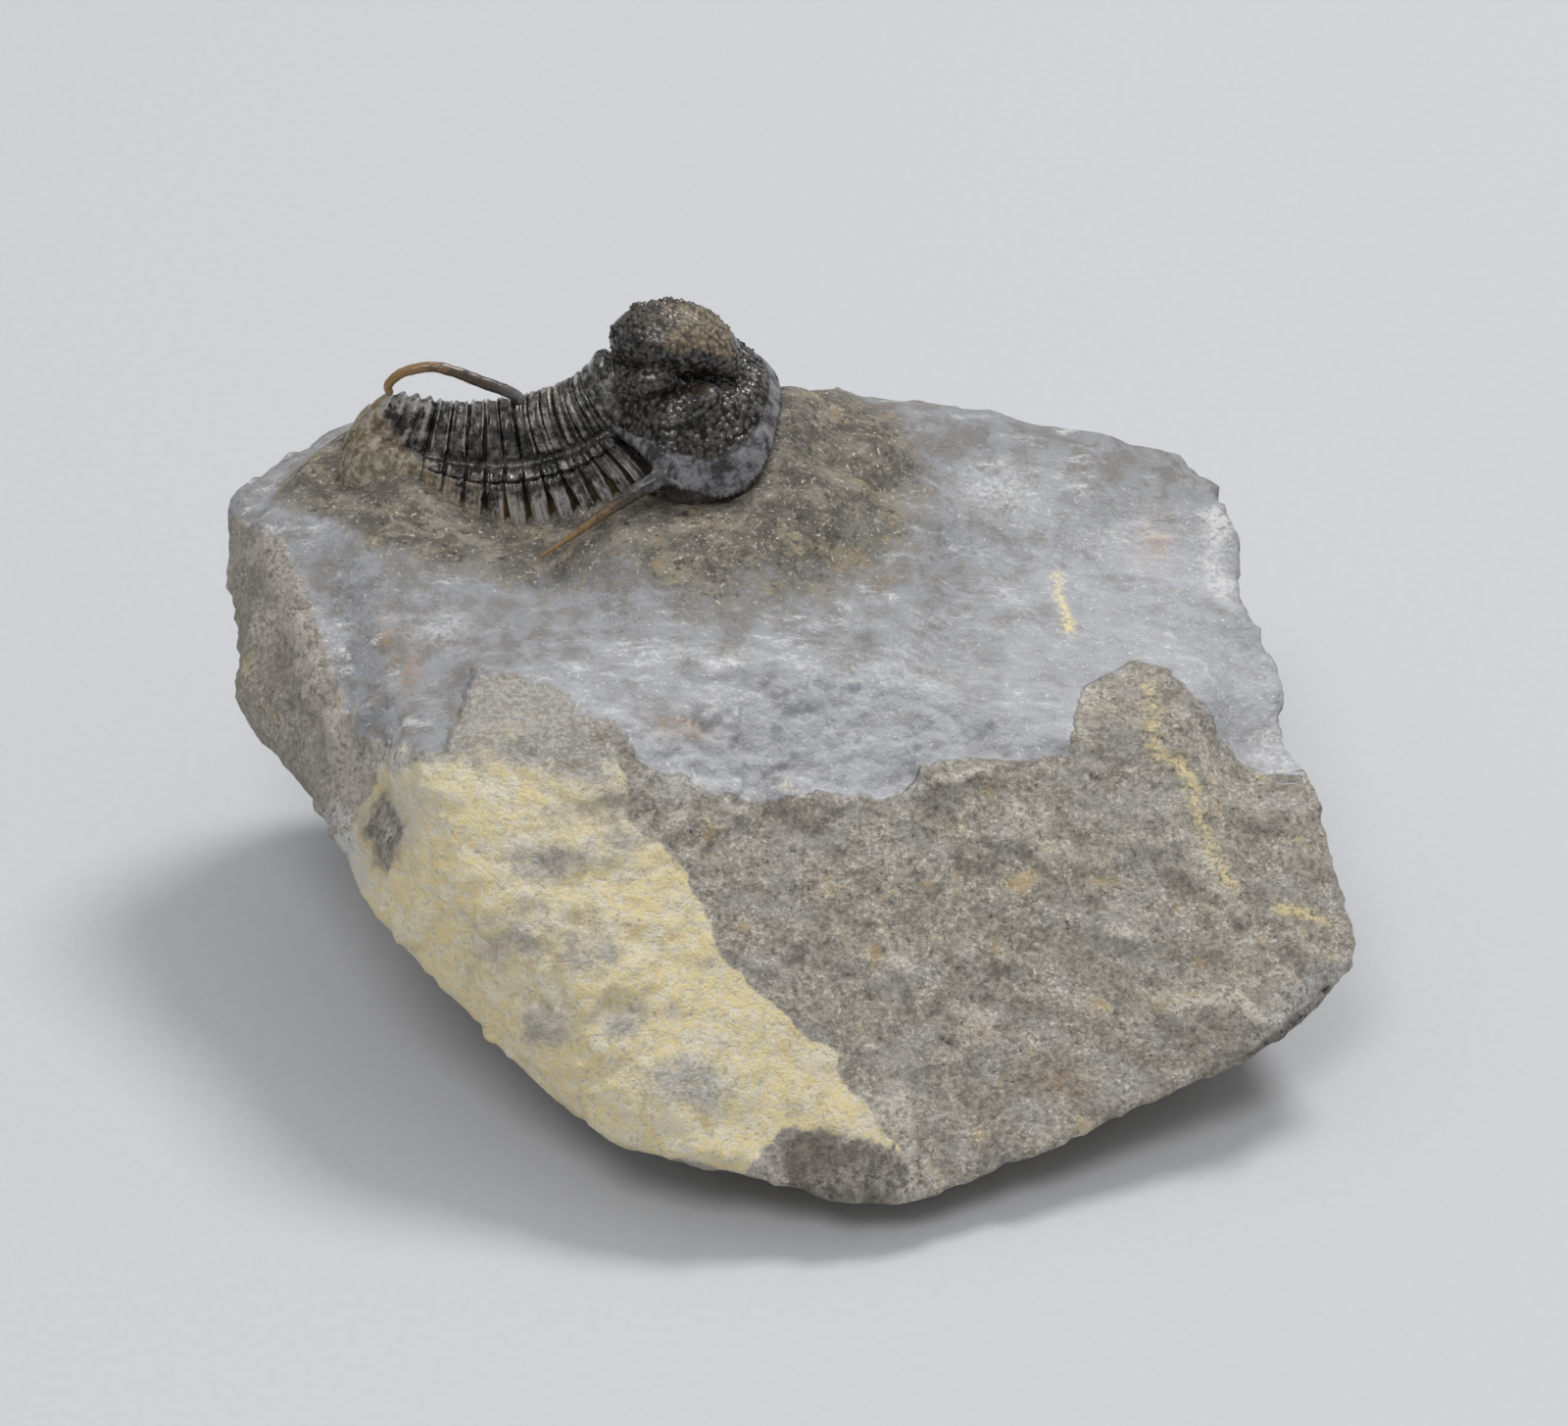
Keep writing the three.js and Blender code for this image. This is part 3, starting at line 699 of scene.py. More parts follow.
def brownBreak(f, fine, grit, middle, other):  # grains of several browns, pale crystals, and painted shade in the gaps between the grains
    tone = f.blend(f.span(f.total((grit, 0.75), (middle, 0.25)), 0.4, 0.6), "brownDark", "brown")
    tone = f.coat(tone, "grey", other, 0.5, 0.62, 0.3)
    tone = f.blend(f.times(f.span(middle, 0.42, 0.64, 0.2, 1), f.span(fine, 0.5, 0.62)), tone, "tan")
    tone = f.blend(f.times(f.span(other, 0.46, 0.36), f.span(middle, 0.5, 0.6, 0, 0.75)), tone, "ochre")
    tone = f.blend(f.times(f.span(fine, 0.58, 0.68), f.span(middle, 0.44, 0.58)), tone, "crystal")
    tone = f.blend(f.times(f.mask("chunk"), 0.2), tone, "brownDark")
    # painted shade: a near-black tone where the grit noise is low, for the shade in the gaps between grains
    return f.coat(tone, "crackShade", grit, 0.38, 0.3, 0.8)


def yellowCoat(f, fine, grit, small, middle, other):  # crumbs of ochre and straw, with grey and painted shade in the pits between them
    tone = f.blend(f.span(f.total((grit, 0.5), (small, 0.5)), 0.42, 0.54), "straw", "yellow")
    tone = f.coat(tone, "pale", middle, 0.5, 0.62, 0.5)
    grey = f.blend(f.span(f.total((grit, 1), (fine, 1)), 0.9, 1.12), "greyDark", "grey")
    greyShare = f.total((small, 0.35), (grit, 0.35), (other, 0.5), (f.mask("grey"), 0.24))
    tone = f.coat(tone, grey, greyShare, 0.69, 0.88, 0.85)
    # painted shade in the pits, where the grit noise is low
    return f.coat(tone, "pitShade", grit, 0.46, 0.34, 0.55)


def preparedTop(f, fine, small, middle, wide):  # sand-blasted grey, frosted in streaks
    streak = f.noise(1.0, 6, 0.78, warp=0.3, shift=(7, 7, 3), scale=(0.4, 1, 1))
    frost = f.total((streak, 0.56), (middle, 0.14), (wide, 0.35), (f.mask("frost"), 0.16))
    tone = f.blend(f.span(middle, 0.4, 0.58), "greyBrown", "blueGrey")
    tone = f.coat(tone, "frosted", frost, 0.5, 0.78, 0.95)
    tone = f.blend(f.times(f.span(streak, 0.55, 0.66), f.span(wide, 0.45, 0.6, 0.15, 0.9)), tone, "white")
    tone = f.blend(f.times(f.span(fine, 0.58, 0.68), f.span(frost, 0.45, 0.7)), tone, "white")
    return f.coat(tone, "brownDark", small, 0.42, 0.31, 0.25)


def stained(f, top, fine, small, other):  # the top with the stain round the animal
    wisp = f.noise(1.3, 6, 0.75, warp=0.3, shift=(4, 4, 1), scale=(0.75, 1, 1))
    tone = f.blend(f.span(wisp, 0.4, 0.62), "olive", "oliveLight")
    tone = f.blend(f.times(f.span(other, 0.52, 0.64), f.span(wisp, 0.46, 0.6, 0, 0.5)), tone, "ochreWisp")
    tone = f.coat(tone, "tan", fine, 0.57, 0.68, 0.7)
    # painted shade in small pits of the stained top
    tone = f.coat(tone, "crackShade", small, 0.45, 0.35, 0.8)
    share = f.total((f.mask("stain"), 1), (wisp, 1.2), (other, 1.2), start=-1.2)
    return f.coat(top, tone, share, 0.15, 0.75)


def stoneFinish():
    f = Finish("limestone", stoneColours)
    fine = f.noise(0.24, 4, 0.7)
    grit = f.noise(0.36, 5, 0.72, shift=(5, 8, 2))
    small = f.noise(0.6, 5, 0.74)
    middle = f.noise(1.6, 5, 0.68, shift=(3, 1, 7))
    other = f.noise(2.3, 5, 0.62, shift=(9, 2, 4))
    wide = f.noise(6.0, 4, warp=0.5)
    colour = brownBreak(f, fine, grit, middle, other)
    coatShare = f.total((f.mask("yellow"), 1), (middle, 1.6), start=-0.8)
    colour = f.coat(colour, yellowCoat(f, fine, grit, small, middle, other), coatShare, 0.3, 0.7)
    top = stained(f, preparedTop(f, fine, small, middle, wide), fine, small, other)
    topShare = f.total((f.mask("prepared"), 1), (middle, 1.2), start=-0.6)
    colour = f.coat(colour, top, topShare, 0.35, 0.65)
    # painted shade: the hollow tone laid where the shade paint is, patchy with the noise
    colour = f.blend(f.times(f.mask("paintedShade"), f.span(small, 0.35, 0.6, 1, 0.6)), colour, "hollow")
    patchy = f.span(f.total((fine, 0.5), (small, 0.5)), 0.42, 0.56)
    for zone, tone in zoneTones.items():
        colour = f.blend(f.times(f.mask(zone), patchy), colour, tone)
    # crumbs and pits too small to be modelled
    bare = f.span(f.mask("prepared"), 0.7, 0.3, 0.35, 0.8)
    height = f.times(f.total((middle, 0.9), (small, 1), (grit, 0.6)), bare)
    roughness = f.total((f.span(fine, 0.35, 0.65, 0.5, 0.75), 1), (bare, 0.15))
    return f.done(colour, roughness, f.bump(height, 0.7, 0.9))


# Studio.

studio = {
    "paper": (0.625, 0.63, 0.65),
    "paperWidth": 3.2,
    "sky": (0.96, 0.98, 1.0),
    "skyTop": 0.6,  # strength overhead, and at the level of the horizon
    "skyLow": 0.1,
    "lamps": {  # place and size in metres, and power in watts
        "keyLight": ((0.24, 0.28, 0.68), 0.25, 2.75),
        "fillLight": ((-0.12, -0.44, 0.66), 0.3, 1.7),
    },
}


def aimed(thing, target):
    thing.rotation_euler = (Vector(target) - thing.location).to_track_quat("-Z", "Y").to_euler()


def makeLamp(name, place, size, power):
    light = bpy.data.lights.new(name, "AREA")
    light.shape = "DISK"
    light.size = size
    light.energy = power
    lamp = bpy.data.objects.new(name, light)
    lamp.location = place
    bpy.context.scene.collection.objects.link(lamp)
    aimed(lamp, (0, 0, 0.01))


def makeSky():
    world = bpy.data.worlds.new("softRoom")
    world.use_nodes = True
    nodes, links = world.node_tree.nodes, world.node_tree.links
    background = nodes["Background"]
    background.inputs["Color"].default_value = (*studio["sky"], 1)
    place = nodes.new("ShaderNodeTexCoord")
    parts = nodes.new("ShaderNodeSeparateXYZ")
    height = nodes.new("ShaderNodeMapRange")
    height.inputs["To Min"].default_value = studio["skyLow"]
    height.inputs["To Max"].default_value = studio["skyTop"]
    links.new(place.outputs["Generated"], parts.inputs[0])
    links.new(parts.outputs["Z"], height.inputs["Value"])
    links.new(height.outputs[0], background.inputs["Strength"])
    bpy.context.scene.world = world


def makeFloor():
    paper = Finish("palePaper", {"paper": studio["paper"], "fibre": [0.97 * v for v in studio["paper"]]})
    fibre = paper.noise(0.6, 4)
    tone = paper.blend(paper.span(fibre, 0.3, 0.7), "fibre", "paper")
    roughness = paper.span(fibre, 0.3, 0.7, 0.85, 0.95)
    half = studio["paperWidth"] / 2
    sheet = bpy.data.meshes.new("paperFloor")
    corners = [(-half, -half, 0), (half, -half, 0), (half, half, 0), (-half, half, 0)]
    sheet.from_pydata(corners, [], [(0, 1, 2, 3)])
    sheet.materials.append(paper.done(tone, roughness, paper.bump(fibre, 0.03, 0.3)))
    floor = bpy.data.objects.new("paperFloor", sheet)
    bpy.context.scene.collection.objects.link(floor)
    floor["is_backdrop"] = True


def makeCamera():
    lens = bpy.data.cameras.new("photoCamera")
    lens.lens = photo["lens"]
    lens.sensor_width = photo["film"]
    camera = bpy.data.objects.new("photoCamera", lens)
    target = (np.array(photo["target"]) + toPart) * mm
    camera.location = target + towardCamera * photo["distance"] * mm
    aimed(camera, target)
    bpy.context.scene.collection.objects.link(camera)
    bpy.context.scene.camera = camera


def makeStudio():
    bpy.context.scene.view_settings.view_transform = "Standard"
    makeSky()
    for name, (place, size, power) in studio["lamps"].items():
        makeLamp(name, place, size, power)
    makeFloor()
    makeCamera()
    print("made studio")


# Surfaces wrapped round a field that is negative inside.

netting = {
    "every": 4,  # steps between the points of the first, rough look at a field
    "near": 9,  # steps from the surface within which a field is worked out in full
    "pointsAtOnce": 400000,
}


def wrapField(field, low, high, step):
    every = netting["every"]
    low, high = np.array(low, float), np.array(high, float)
    blocks = np.ceil((high - low) / step / every).astype(int)
    axes = [low[k] + step * np.arange(blocks[k] * every + 1) for k in range(3)]
    coarse = [axis[::every] for axis in axes]
    grid = np.stack(np.meshgrid(*coarse, indexing="ij"), -1)
    rougher = field(grid.reshape(-1, 3)).reshape(grid.shape[:3])
    shape = tuple(len(axis) for axis in axes)
    nearest = [np.minimum((np.arange(n) + every // 2) // every, len(c) - 1) for n, c in zip(shape, coarse)]
    values = rougher[np.ix_(*nearest)].copy()
    close = np.abs(rougher) < step * netting["near"]
    active = np.zeros(tuple(blocks), bool)
    for i, j, k in product((0, 1), repeat=3):
        active |= close[i:i + blocks[0], j:j + blocks[1], k:k + blocks[2]]
    spread = active.repeat(every, 0).repeat(every, 1).repeat(every, 2)
    chosen = np.zeros(shape, bool)
    for i, j, k in product((0, 1), repeat=3):
        chosen[i:i + spread.shape[0], j:j + spread.shape[1], k:k + spread.shape[2]] |= spread
    picked = np.argwhere(chosen)
    for part in np.array_split(picked, max(1, len(picked) // netting["pointsAtOnce"])):
        values[tuple(part.T)] = field(low + part * step)
    return netSurface(values, low, step)


def netSurface(values, low, step):  # a point in each cell that the surface crosses, and quads between them
    inside = values < 0
    cells = tuple(n - 1 for n in values.shape)
    total = np.zeros(cells + (3,), np.float32)
    count = np.zeros(cells, np.int16)
    corner = lambda start: values[tuple(slice(at, at + n) for at, n in zip(start, cells))]
    for axis in range(3):
        others = [a for a in range(3) if a != axis]
        for p, q in product((0, 1), repeat=2):
            start = [0, 0, 0]
            start[others[0]], start[others[1]] = p, q
            end = list(start)
            end[axis] = 1
            a, b = corner(start), corner(end)
            cut = (a < 0) != (b < 0)
            total[..., others[0]] += cut * p
            total[..., others[1]] += cut * q
            total[..., axis] += np.where(cut, a / np.where(cut, a - b, 1), 0)
            count += cut
    used = count > 0
    number = np.full(cells, -1, np.int64)
    number[used] = np.arange(used.sum())
    points = low + (np.argwhere(used) + total[used] / count[used][:, None]) * step
    faces = []
    for axis in range(3):
        u, v = sides = [(axis + 1) % 3, (axis + 2) % 3]
        starts = inside.take(range(inside.shape[axis] - 1), axis)
        ends = inside.take(range(1, inside.shape[axis]), axis)
        spots = np.argwhere(starts != ends)
        last = np.array(values.shape)[sides] - 1
        spots = spots[np.all((spots[:, sides] > 0) & (spots[:, sides] < last), axis=1)]
        ring = []
        for du, dv in ((-1, -1), (0, -1), (0, 0), (-1, 0)):
            cell = spots.copy()
            cell[:, u] += du
            cell[:, v] += dv
            ring.append(number[tuple(cell.T)])
        quads = np.stack(ring, -1)
        faces.append(np.where(starts[tuple(spots.T)][:, None], quads, quads[:, ::-1]))
    return points, np.concatenate(faces)


def softUnion(a, b, reach):
    share = np.clip(0.5 + 0.5 * (b - a) / reach, 0, 1)
    return b + (a - b) * share - reach * share * (1 - share)


def ballField(p, centre, radii):  # roughly the distance to an ellipsoid
    q = (p - np.array(centre)) / np.array(radii)
    size = np.linalg.norm(q, axis=1)
    slope = np.linalg.norm(q / np.array(radii), axis=1)
    return size * (size - 1) / np.maximum(slope, 1e-6)


# What the shells share.

sedimentOutline = [  # brown crust over the tail's near side, in the photo's pixels
    (330, 400), (384, 408), (398, 430), (418, 456), (446, 488), (472, 506), (505, 524), (540, 540),
    (540, 580), (330, 580),
]


def tubeFaces(rings, around):  # rings joined in a tube, each end closed to one point after the last ring
    first = np.arange(rings - 1)[:, None] * around + np.arange(around)[None]
    second = np.arange(rings - 1)[:, None] * around + (np.arange(around)[None] + 1) % around
    quads = np.stack([first, second, second + around, first + around], -1).reshape(-1, 4)
    k = np.arange(around)
    last = (rings - 1) * around
    base = np.stack([np.full(around, rings * around), (k + 1) % around, k], -1)
    tip = np.stack([np.full(around, rings * around + 1), last + k, last + (k + 1) % around], -1)
    return quads, np.concatenate([base, tip])


def spineTube(stops, seed, around=20, perStop=14, glow=1.0):
    stops = np.array(stops, float)
    u = np.linspace(0, 1, (len(stops) - 1) * perStop + 1)
    middle = throughPoints(stops[:, :3], u)
    radius = throughPoints(stops[:, 3:], u)[:, 0]
    along = unit(np.gradient(middle, axis=0))
    side = unit(np.cross(np.array([0, 1.0, 0]), along))
    other = np.cross(along, side)
    turn = np.arange(around) * 2 * math.pi / around
    spokes = np.cos(turn)[None, :, None] * side[:, None] + np.sin(turn)[None, :, None] * other[:, None]
    places = middle[:, None] + spokes * radius[:, None, None]
    uneven = rough(places.reshape(-1, 3), 0.5, 3, seed).reshape(places.shape[:2])
    fade = np.clip(radius / 0.25, 0, 1)
    places = middle[:, None] + spokes * (radius[:, None] * (1 + 0.16 * uneven * fade[:, None]))[..., None]
    points = np.concatenate([places.reshape(-1, 3), middle[:1], middle[-1:] + along[-1] * radius[-1] * 0.8])
    quads, ends = tubeFaces(len(u), around)
    return points, quads, ends, glow * np.concatenate([np.repeat(u, around), [0, 1]]) ** 1.3


def makeShell(name, node, points, groups, material, paints, spines=()):
    bare = np.zeros(len(points))
    covered = insideOutline(seenAt(points), sedimentOutline) + 7 * rough(points, 0.9, 3, 83)
    paints = {"border": bare, **paints, "sediment": smooth(-3, 6, covered), "spine": bare}
    groups = list(groups)
    for tubePoints, quads, ends, tip in spines:
        groups += [quads + len(points), ends + len(points)]
        points = np.concatenate([points, tubePoints])
        # the border's grey, which is painted sheen on the border, runs onto the spines' bases
        onTube = {"spine": tip, "border": 0.7 * smooth(0.5, 0.05, tip)}
        paints = {key: np.concatenate([values, onTube.get(key, tip * 0)]) for key, values in paints.items()}
    return makePiece(name, points, groups, material, [node], paints)


# The head shield, in the head's own frame: forward, right, up.

head = {
    "room": ((-1.6, -6.4, -4.6), (8.9, 6.4, 6.0)),  # the box in which its surface is looked for
    "margin": [
        (-1.15, 0, 2.35), (-1.05, 0.8, 2.15), (-0.75, 1.45, 1.55), (-0.3, 1.85, 0.75), (0.05, 2.1, 0.2),
        (0.9, 3.4, 0.45), (1.9, 4.7, 0.25), (2.6, 5.75, -0.5), (3.25, 5.95, -0.87), (4.0, 5.85, -1.3),
        (4.8, 5.6, -1.99), (5.8, 5.2, -2.3), (6.7, 4.8, -2.1), (7.55, 4.0, -1.55), (8.1, 2.7, -1.0),
        (8.4, 1.2, -0.72), (8.5, 0, -0.57),
    ],
    "glabellaAt": (4, 0, 3.85),
    "glabellaRadii": (3.45, 2.1, 1.7),
    "glabellaRear": 3.3,
    "glabellaDroop": 1.1,  # of its front end
    "glabellaRearDroop": 0.3,
    "glabellaPitch": math.radians(-16),
    "lobeAt": (2.6, 2.0, 2.72),
    "lobeRadii": (1.3, 0.88, 1.0),
    "eyeAt": (5.15, 2.8, 2.0),
    "eyeRadii": (0.85, 0.8, 0.55),
    "eyeMound": 0.4,
    "cheek": [  # share of the way out to the margin, fall at the sides, fall at the rear
        (-0.6, 0.2, 0.2), (0.06, 0.2, 0.3), (0.22, 0.2, 0.5), (0.38, 0.22, 0.62), (0.54, 0.3, 0.74),
        (0.66, 0.44, 0.84), (0.75, 0.56, 0.95), (0.81, 0.63, 0.98), (0.86, 0.69, 0.95), (0.92, 0.80, 0.94),
        (0.96, 0.89, 0.94), (1, 1, 1),
    ],
    "borderThick": 0.35,
    "toothSpacing": 0.32,
    "toothReach": 0.1,
    "step": 0.0758,
    "domeGrain": 0.26,
    "domeGrainHeight": 0.1,
    "crestKnob": (-7.25, 5.85, 32.25, 0.34),  # place in the photo's millimetres and radius
    "spineWeb": 0.7,
    "cheekGrain": 0.3,
    "cheekGrainHeight": 0.11,
    "borderFurrow": 0.07,
    "rearBorderRise": 0.2,
    "rearFurrow": 0.3,
    "neckRingRise": 0.75,
    "neckFurrow": 0.3,
    "lobeFurrow": 0.5,
    # spines: middle and radius at each stop, in millimetres as the photo sees them
    "genalRight": [
        (-5.9, 0.2, 25.85, 0.45), (-6.9, -0.2, 25.5, 0.42), (-7.7, -0.45, 25.05, 0.38),
        (-8.6, -0.7, 24.5, 0.3), (-10.6, -1.3, 23.2, 0.17), (-12.2, -1.7, 22.25, 0.07),
    ],
    "genalLeft": [
        (-5.9, 11.2, 27.75, 0.42), (-7.2, 11.4, 26.9, 0.34), (-8.9, 11.3, 25.8, 0.24),
        (-10.8, 11.3, 24.6, 0.15), (-12.2, 11.2, 23.7, 0.07),
    ],
}
genalSpines = head["genalRight"], head["genalLeft"]


def marginTable():
    right = [np.array(p, float) for p in head["margin"]]
    left = [p * np.array([1, -1, 1]) for p in reversed(right[1:-1])]
    loop = np.array(right + left)
    stops = np.concatenate([loop[-2:], loop, loop[:3]])
    u = np.linspace(2 / (len(stops) - 1), (len(loop) + 2) / (len(stops) - 1), 721)[:-1]
    curve = throughPoints(stops, u)
    turn = np.arctan2(curve[:, 1], curve[:, 0] - head["glabellaAt"][0])
    reach = np.hypot(curve[:, 1], curve[:, 0] - head["glabellaAt"][0])
    step = np.linalg.norm(np.diff(curve, axis=0, append=curve[:1]), axis=1)
    order = np.argsort(turn)
    return turn[order], reach[order], curve[order, 2], np.cumsum(step)[order]


marginTurn, marginReach, marginHeight, marginRun = marginTable()


def marginAt(turn):
    reach = np.interp(turn, marginTurn, marginReach, period=2 * math.pi)
    height = np.interp(turn, marginTurn, marginHeight, period=2 * math.pi)
    run = np.interp(turn, marginTurn, marginRun)
    return reach, height, run


def domeRim(turn):  # reach and height of the line where the dome meets the cheeks
    polar = math.radians(118)
    rx, ry, rz = head["glabellaRadii"]
    pitch = head["glabellaPitch"]
    reach = np.cos(turn) * math.sin(polar)
    along = reach * np.where(reach > 0, rx, head["glabellaRear"])
    high = rz * math.cos(polar) - head["glabellaDroop"] * np.maximum(0, reach) ** 2
    ahead = along * math.cos(pitch) - high * math.sin(pitch)
    height = head["glabellaAt"][2] + along * math.sin(pitch) + high * math.cos(pitch)
    return np.hypot(ahead, ry * np.sin(turn) * math.sin(polar)), height


def glabellaField(p):  # the dome, straightened from its pitch and the droop of its front
    gx, _, gz = head["glabellaAt"]
    rx, ry, rz = head["glabellaRadii"]
    pitch = head["glabellaPitch"]
    ds, dn = p[:, 0] - gx, p[:, 2] - gz
    along = ds * math.cos(pitch) + dn * math.sin(pitch)
    high = dn * math.cos(pitch) - ds * math.sin(pitch)
    high = high + head["glabellaDroop"] * np.clip(along / rx, 0, 1.2) ** 2
    high = high + head["glabellaRearDroop"] * np.clip(-along / rx, 0, 1.2) ** 2
    along = np.where(along < 0, along * rx / head["glabellaRear"], along)
    straight = np.stack([along, p[:, 1], high], -1)
    return ballField(straight, (0, 0, 0), (rx, ry, rz)), along, high


def folded(p):  # both sides of the head laid on its right side
    return np.stack([p[:, 0], np.abs(p[:, 1]), p[:, 2]], -1)


def headZones(p):
    s, t = p[:, 0], p[:, 1]
    turn = np.arctan2(t, s - head["glabellaAt"][0])
    reach = np.hypot(t, s - head["glabellaAt"][0])
    edge, edgeHeight, run = marginAt(turn)
    rimReach, rimHeight = domeRim(turn)
    share = (reach - rimReach) / np.maximum(edge - rimReach, 0.3)
    stops, sides, rears = np.array(head["cheek"]).T
    side = np.interp(share, stops, sides)
    rear = np.interp(share, stops, rears)
    fall = side + (rear - side) * smooth(math.radians(95), math.radians(135), np.abs(turn))
    top = rimHeight + (edgeHeight - rimHeight) * fall
    # borders and furrows
    front = smooth(math.radians(140), math.radians(118), np.abs(turn))
    top -= head["borderFurrow"] * front * hill((share - 0.8) / 0.05)
    top += head["rearBorderRise"] * (1 - front) * smooth(1.8, 2.6, np.abs(t)) * hill((share - 0.9) / 0.1)
    top += head["neckRingRise"] * hill((s + 0.1) / 0.7) * hill(t / 1.8)
    top -= head["neckFurrow"] * hill((s - 0.62) / 0.17) * hill(t / 2.4)
    top -= head["rearFurrow"] * (1 - front) * hill((share - 0.74) / 0.09) * smooth(1.5, 2.4, np.abs(t))
    # the furrow round the side lobe, and the mound under the eye
    lobe, lobeRadii, eye = (np.array(head[key]) for key in ("lobeAt", "lobeRadii", "eyeAt"))
    gap = np.hypot((s - lobe[0]) / lobeRadii[0], (np.abs(t) - lobe[1]) / lobeRadii[1])
    top -= head["lobeFurrow"] * hill((gap - 1.15) / 0.2)
    top += head["eyeMound"] * hill(np.hypot(s - eye[0], np.abs(t) - eye[1]) / 1.15)
    return share, top, turn, reach, edge, edgeHeight, run


def roomForThorax(world):  # above zero where the first segment, swept forward at its sides, has its place
    ahead = math.cos(body["neckBend"]) * thoraxAxes[0] + math.sin(body["neckBend"]) * thoraxAxes[2]
    behind = 0.02 - (world - neck) @ ahead
    own = (world - np.array(body["origin"])) @ thoraxAxes.T
    side = np.abs(own[:, 1])
    reach = np.hypot(own[:, 0], body["bendRadius"] - own[:, 2])
    bend = np.arctan2(own[:, 0], body["bendRadius"] - own[:, 2])
    arch = np.array(thorax["arch"])
    under = np.interp(side, arch[:, 0], arch[:, 1]) + 0.06 - (body["bendRadius"] - reach)
    swept = (body["neckBend"] + sweepAt(body["neckBend"], side) - bend) * reach + 0.02
    return np.maximum(behind, np.minimum(np.minimum(swept, under), 4.6 - side))


def headField(p):
    share, top, turn, reach, edge, edgeHeight, run = headZones(p)
    tooth = (0.5 + 0.5 * np.cos(2 * math.pi * run / head["toothSpacing"])) ** 1.5
    teeth = head["toothReach"] * tooth * smooth(math.radians(132), math.radians(115), np.abs(turn))
    shield = np.maximum((p[:, 2] - top) * 0.75, reach - edge - teeth)
    hollow = np.maximum(0.84 - share, p[:, 2] - (edgeHeight - head["borderThick"]) - 1.2 * (1 - share))
    shield = np.maximum(shield, -hollow)
    dome = glabellaField(p)[0]
    lobe = ballField(folded(p), head["lobeAt"], head["lobeRadii"])
    eye = ballField(folded(p), head["eyeAt"], head["eyeRadii"])
    f = softUnion(shield, dome, 0.1 + 0.8 * smooth(1.8, 0.6, p[:, 0]))
    f = softUnion(f, lobe, 0.08)
    f = softUnion(f, eye, 0.4)
    world = headPoint(p)
    crest = head["crestKnob"]
    f = softUnion(f, np.linalg.norm(world - np.array(crest[:3]), axis=1) - crest[3], 0.25)
    f = np.maximum(f, roomForThorax(world))
    for stops in genalSpines:
        f = softUnion(f, rodDistance(world, stops[:4]), head["spineWeb"])
    buried = topSheet.at(world[:, 0], world[:, 1]) - 0.35 - world[:, 2]
    return np.maximum(f, buried)


def makeHead(material):
    points, faces = wrapField(headField, *head["room"], head["step"])
    normals = pointNormals(points, faces)
    share, top, turn = headZones(points)[:3]
    fold = folded(points)
    dome, domeAlong, domeHigh = glabellaField(points)
    onDome = smooth(0.22, 0.06, dome)
    onBorder = smooth(0.8, 0.85, share) * smooth(0.2, 0.6, -points[:, 2] + top + 0.9)
    toRing = smooth(0.75, 0.45, points[:, 0]) * smooth(2.4, 2.0, fold[:, 1])
    atRear = smooth(math.radians(118), math.radians(130), np.abs(turn)) * smooth(0.84, 0.9, share)
    eyeTop = np.array(head["eyeAt"]) + np.array([0, 0, 0.3])
    onEye = smooth(0.85, 0.3, np.linalg.norm(fold - eyeTop, axis=1) + 0.25 * rough(points, 0.6, 3, 41))
    onLobe = smooth(0.2, 0.05, ballField(fold, head["lobeAt"], head["lobeRadii"])) * (1 - onDome)
    world = headPoint(points)
    onStub = smooth(0.5, 0.2, np.min([rodDistance(world, stops) for stops in genalSpines], axis=0))
    plain = np.max([onBorder, toRing, atRear, onStub], axis=0)
    grained = (1 - plain) * (1 - 0.7 * onEye)
    # granules: coarse on the dome, finer on lobes and cheeks, none on the border and the ring
    onTop = onDome > 0.5
    far, tag = np.where(onTop, beads(points, head["domeGrain"], 5), beads(points, head["cheekGrain"], 11))
    knob = smooth(0.66, 0.1, far)
    height = np.where(onTop, head["domeGrainHeight"], head["cheekGrainHeight"]) * knob
    height *= (0.35 + 1.9 * tag ** 2.5) * (0.75 + 0.5 * rough(points, 1.1, 2, 23))
    height *= (1 - plain) * (1 - 0.8 * onEye) * (1 - 0.5 * onLobe)
    uneven = 0.025 * rough(points, 0.8, 3, 17) + 0.05 * plain * rough(points, 0.8, 4, 19)
    points = points + normals * (height + uneven)[:, None]
    # tan dust over the dome's upper part and right side, placed where light falls on its top, so partly dust
    # and partly painted light
    lit = smooth(-2.6, 0.6, domeAlong) * smooth(0.1, 0.95, domeHigh + 0.45 * rough(points, 1.1, 3, 29))
    lit *= onDome * smooth(3.3, 2.4, domeAlong) * (0.3 + 0.7 * smooth(-1.5, -0.2, points[:, 1]))
    # painted shade between the granules, lighter where the dust lies
    gap = smooth(0.46, 0.7, far) * grained * (1 - 0.65 * lit)
    paints = {
        "dust": lit,
        "amber": 0.5 * smooth(-0.8, -1.8, points[:, 2]) * (1 - onBorder),
        "eye": onEye,
        # painted sheen on the side lobes and the neck ring
        "paintedSheen": np.maximum(0.3 * onLobe, 0.4 * toRing),
        # the border's grey is laid only on faces that turn upward: painted sheen on the border's top
        "border": np.maximum(onBorder, atRear) * smooth(-0.15, 0.25, normals[:, 2]) * (1 - toRing),
        "knob": knob * grained,
        # painted shade between granules, and on the border's outer wall where it faces down
        "gap": np.maximum(gap, onBorder * smooth(-0.05, -0.3, normals[:, 2])),
    }
    spines = [spineTube(stops, seed, glow=0.85) for stops, seed in zip(genalSpines, (5, 6))]
    return makeShell("cephalonShell", "cephalon", headPoint(points), [faces], material, paints, spines)


# The segments of the thorax: an arch swept over one pitch, with its relief along the arch's normal.

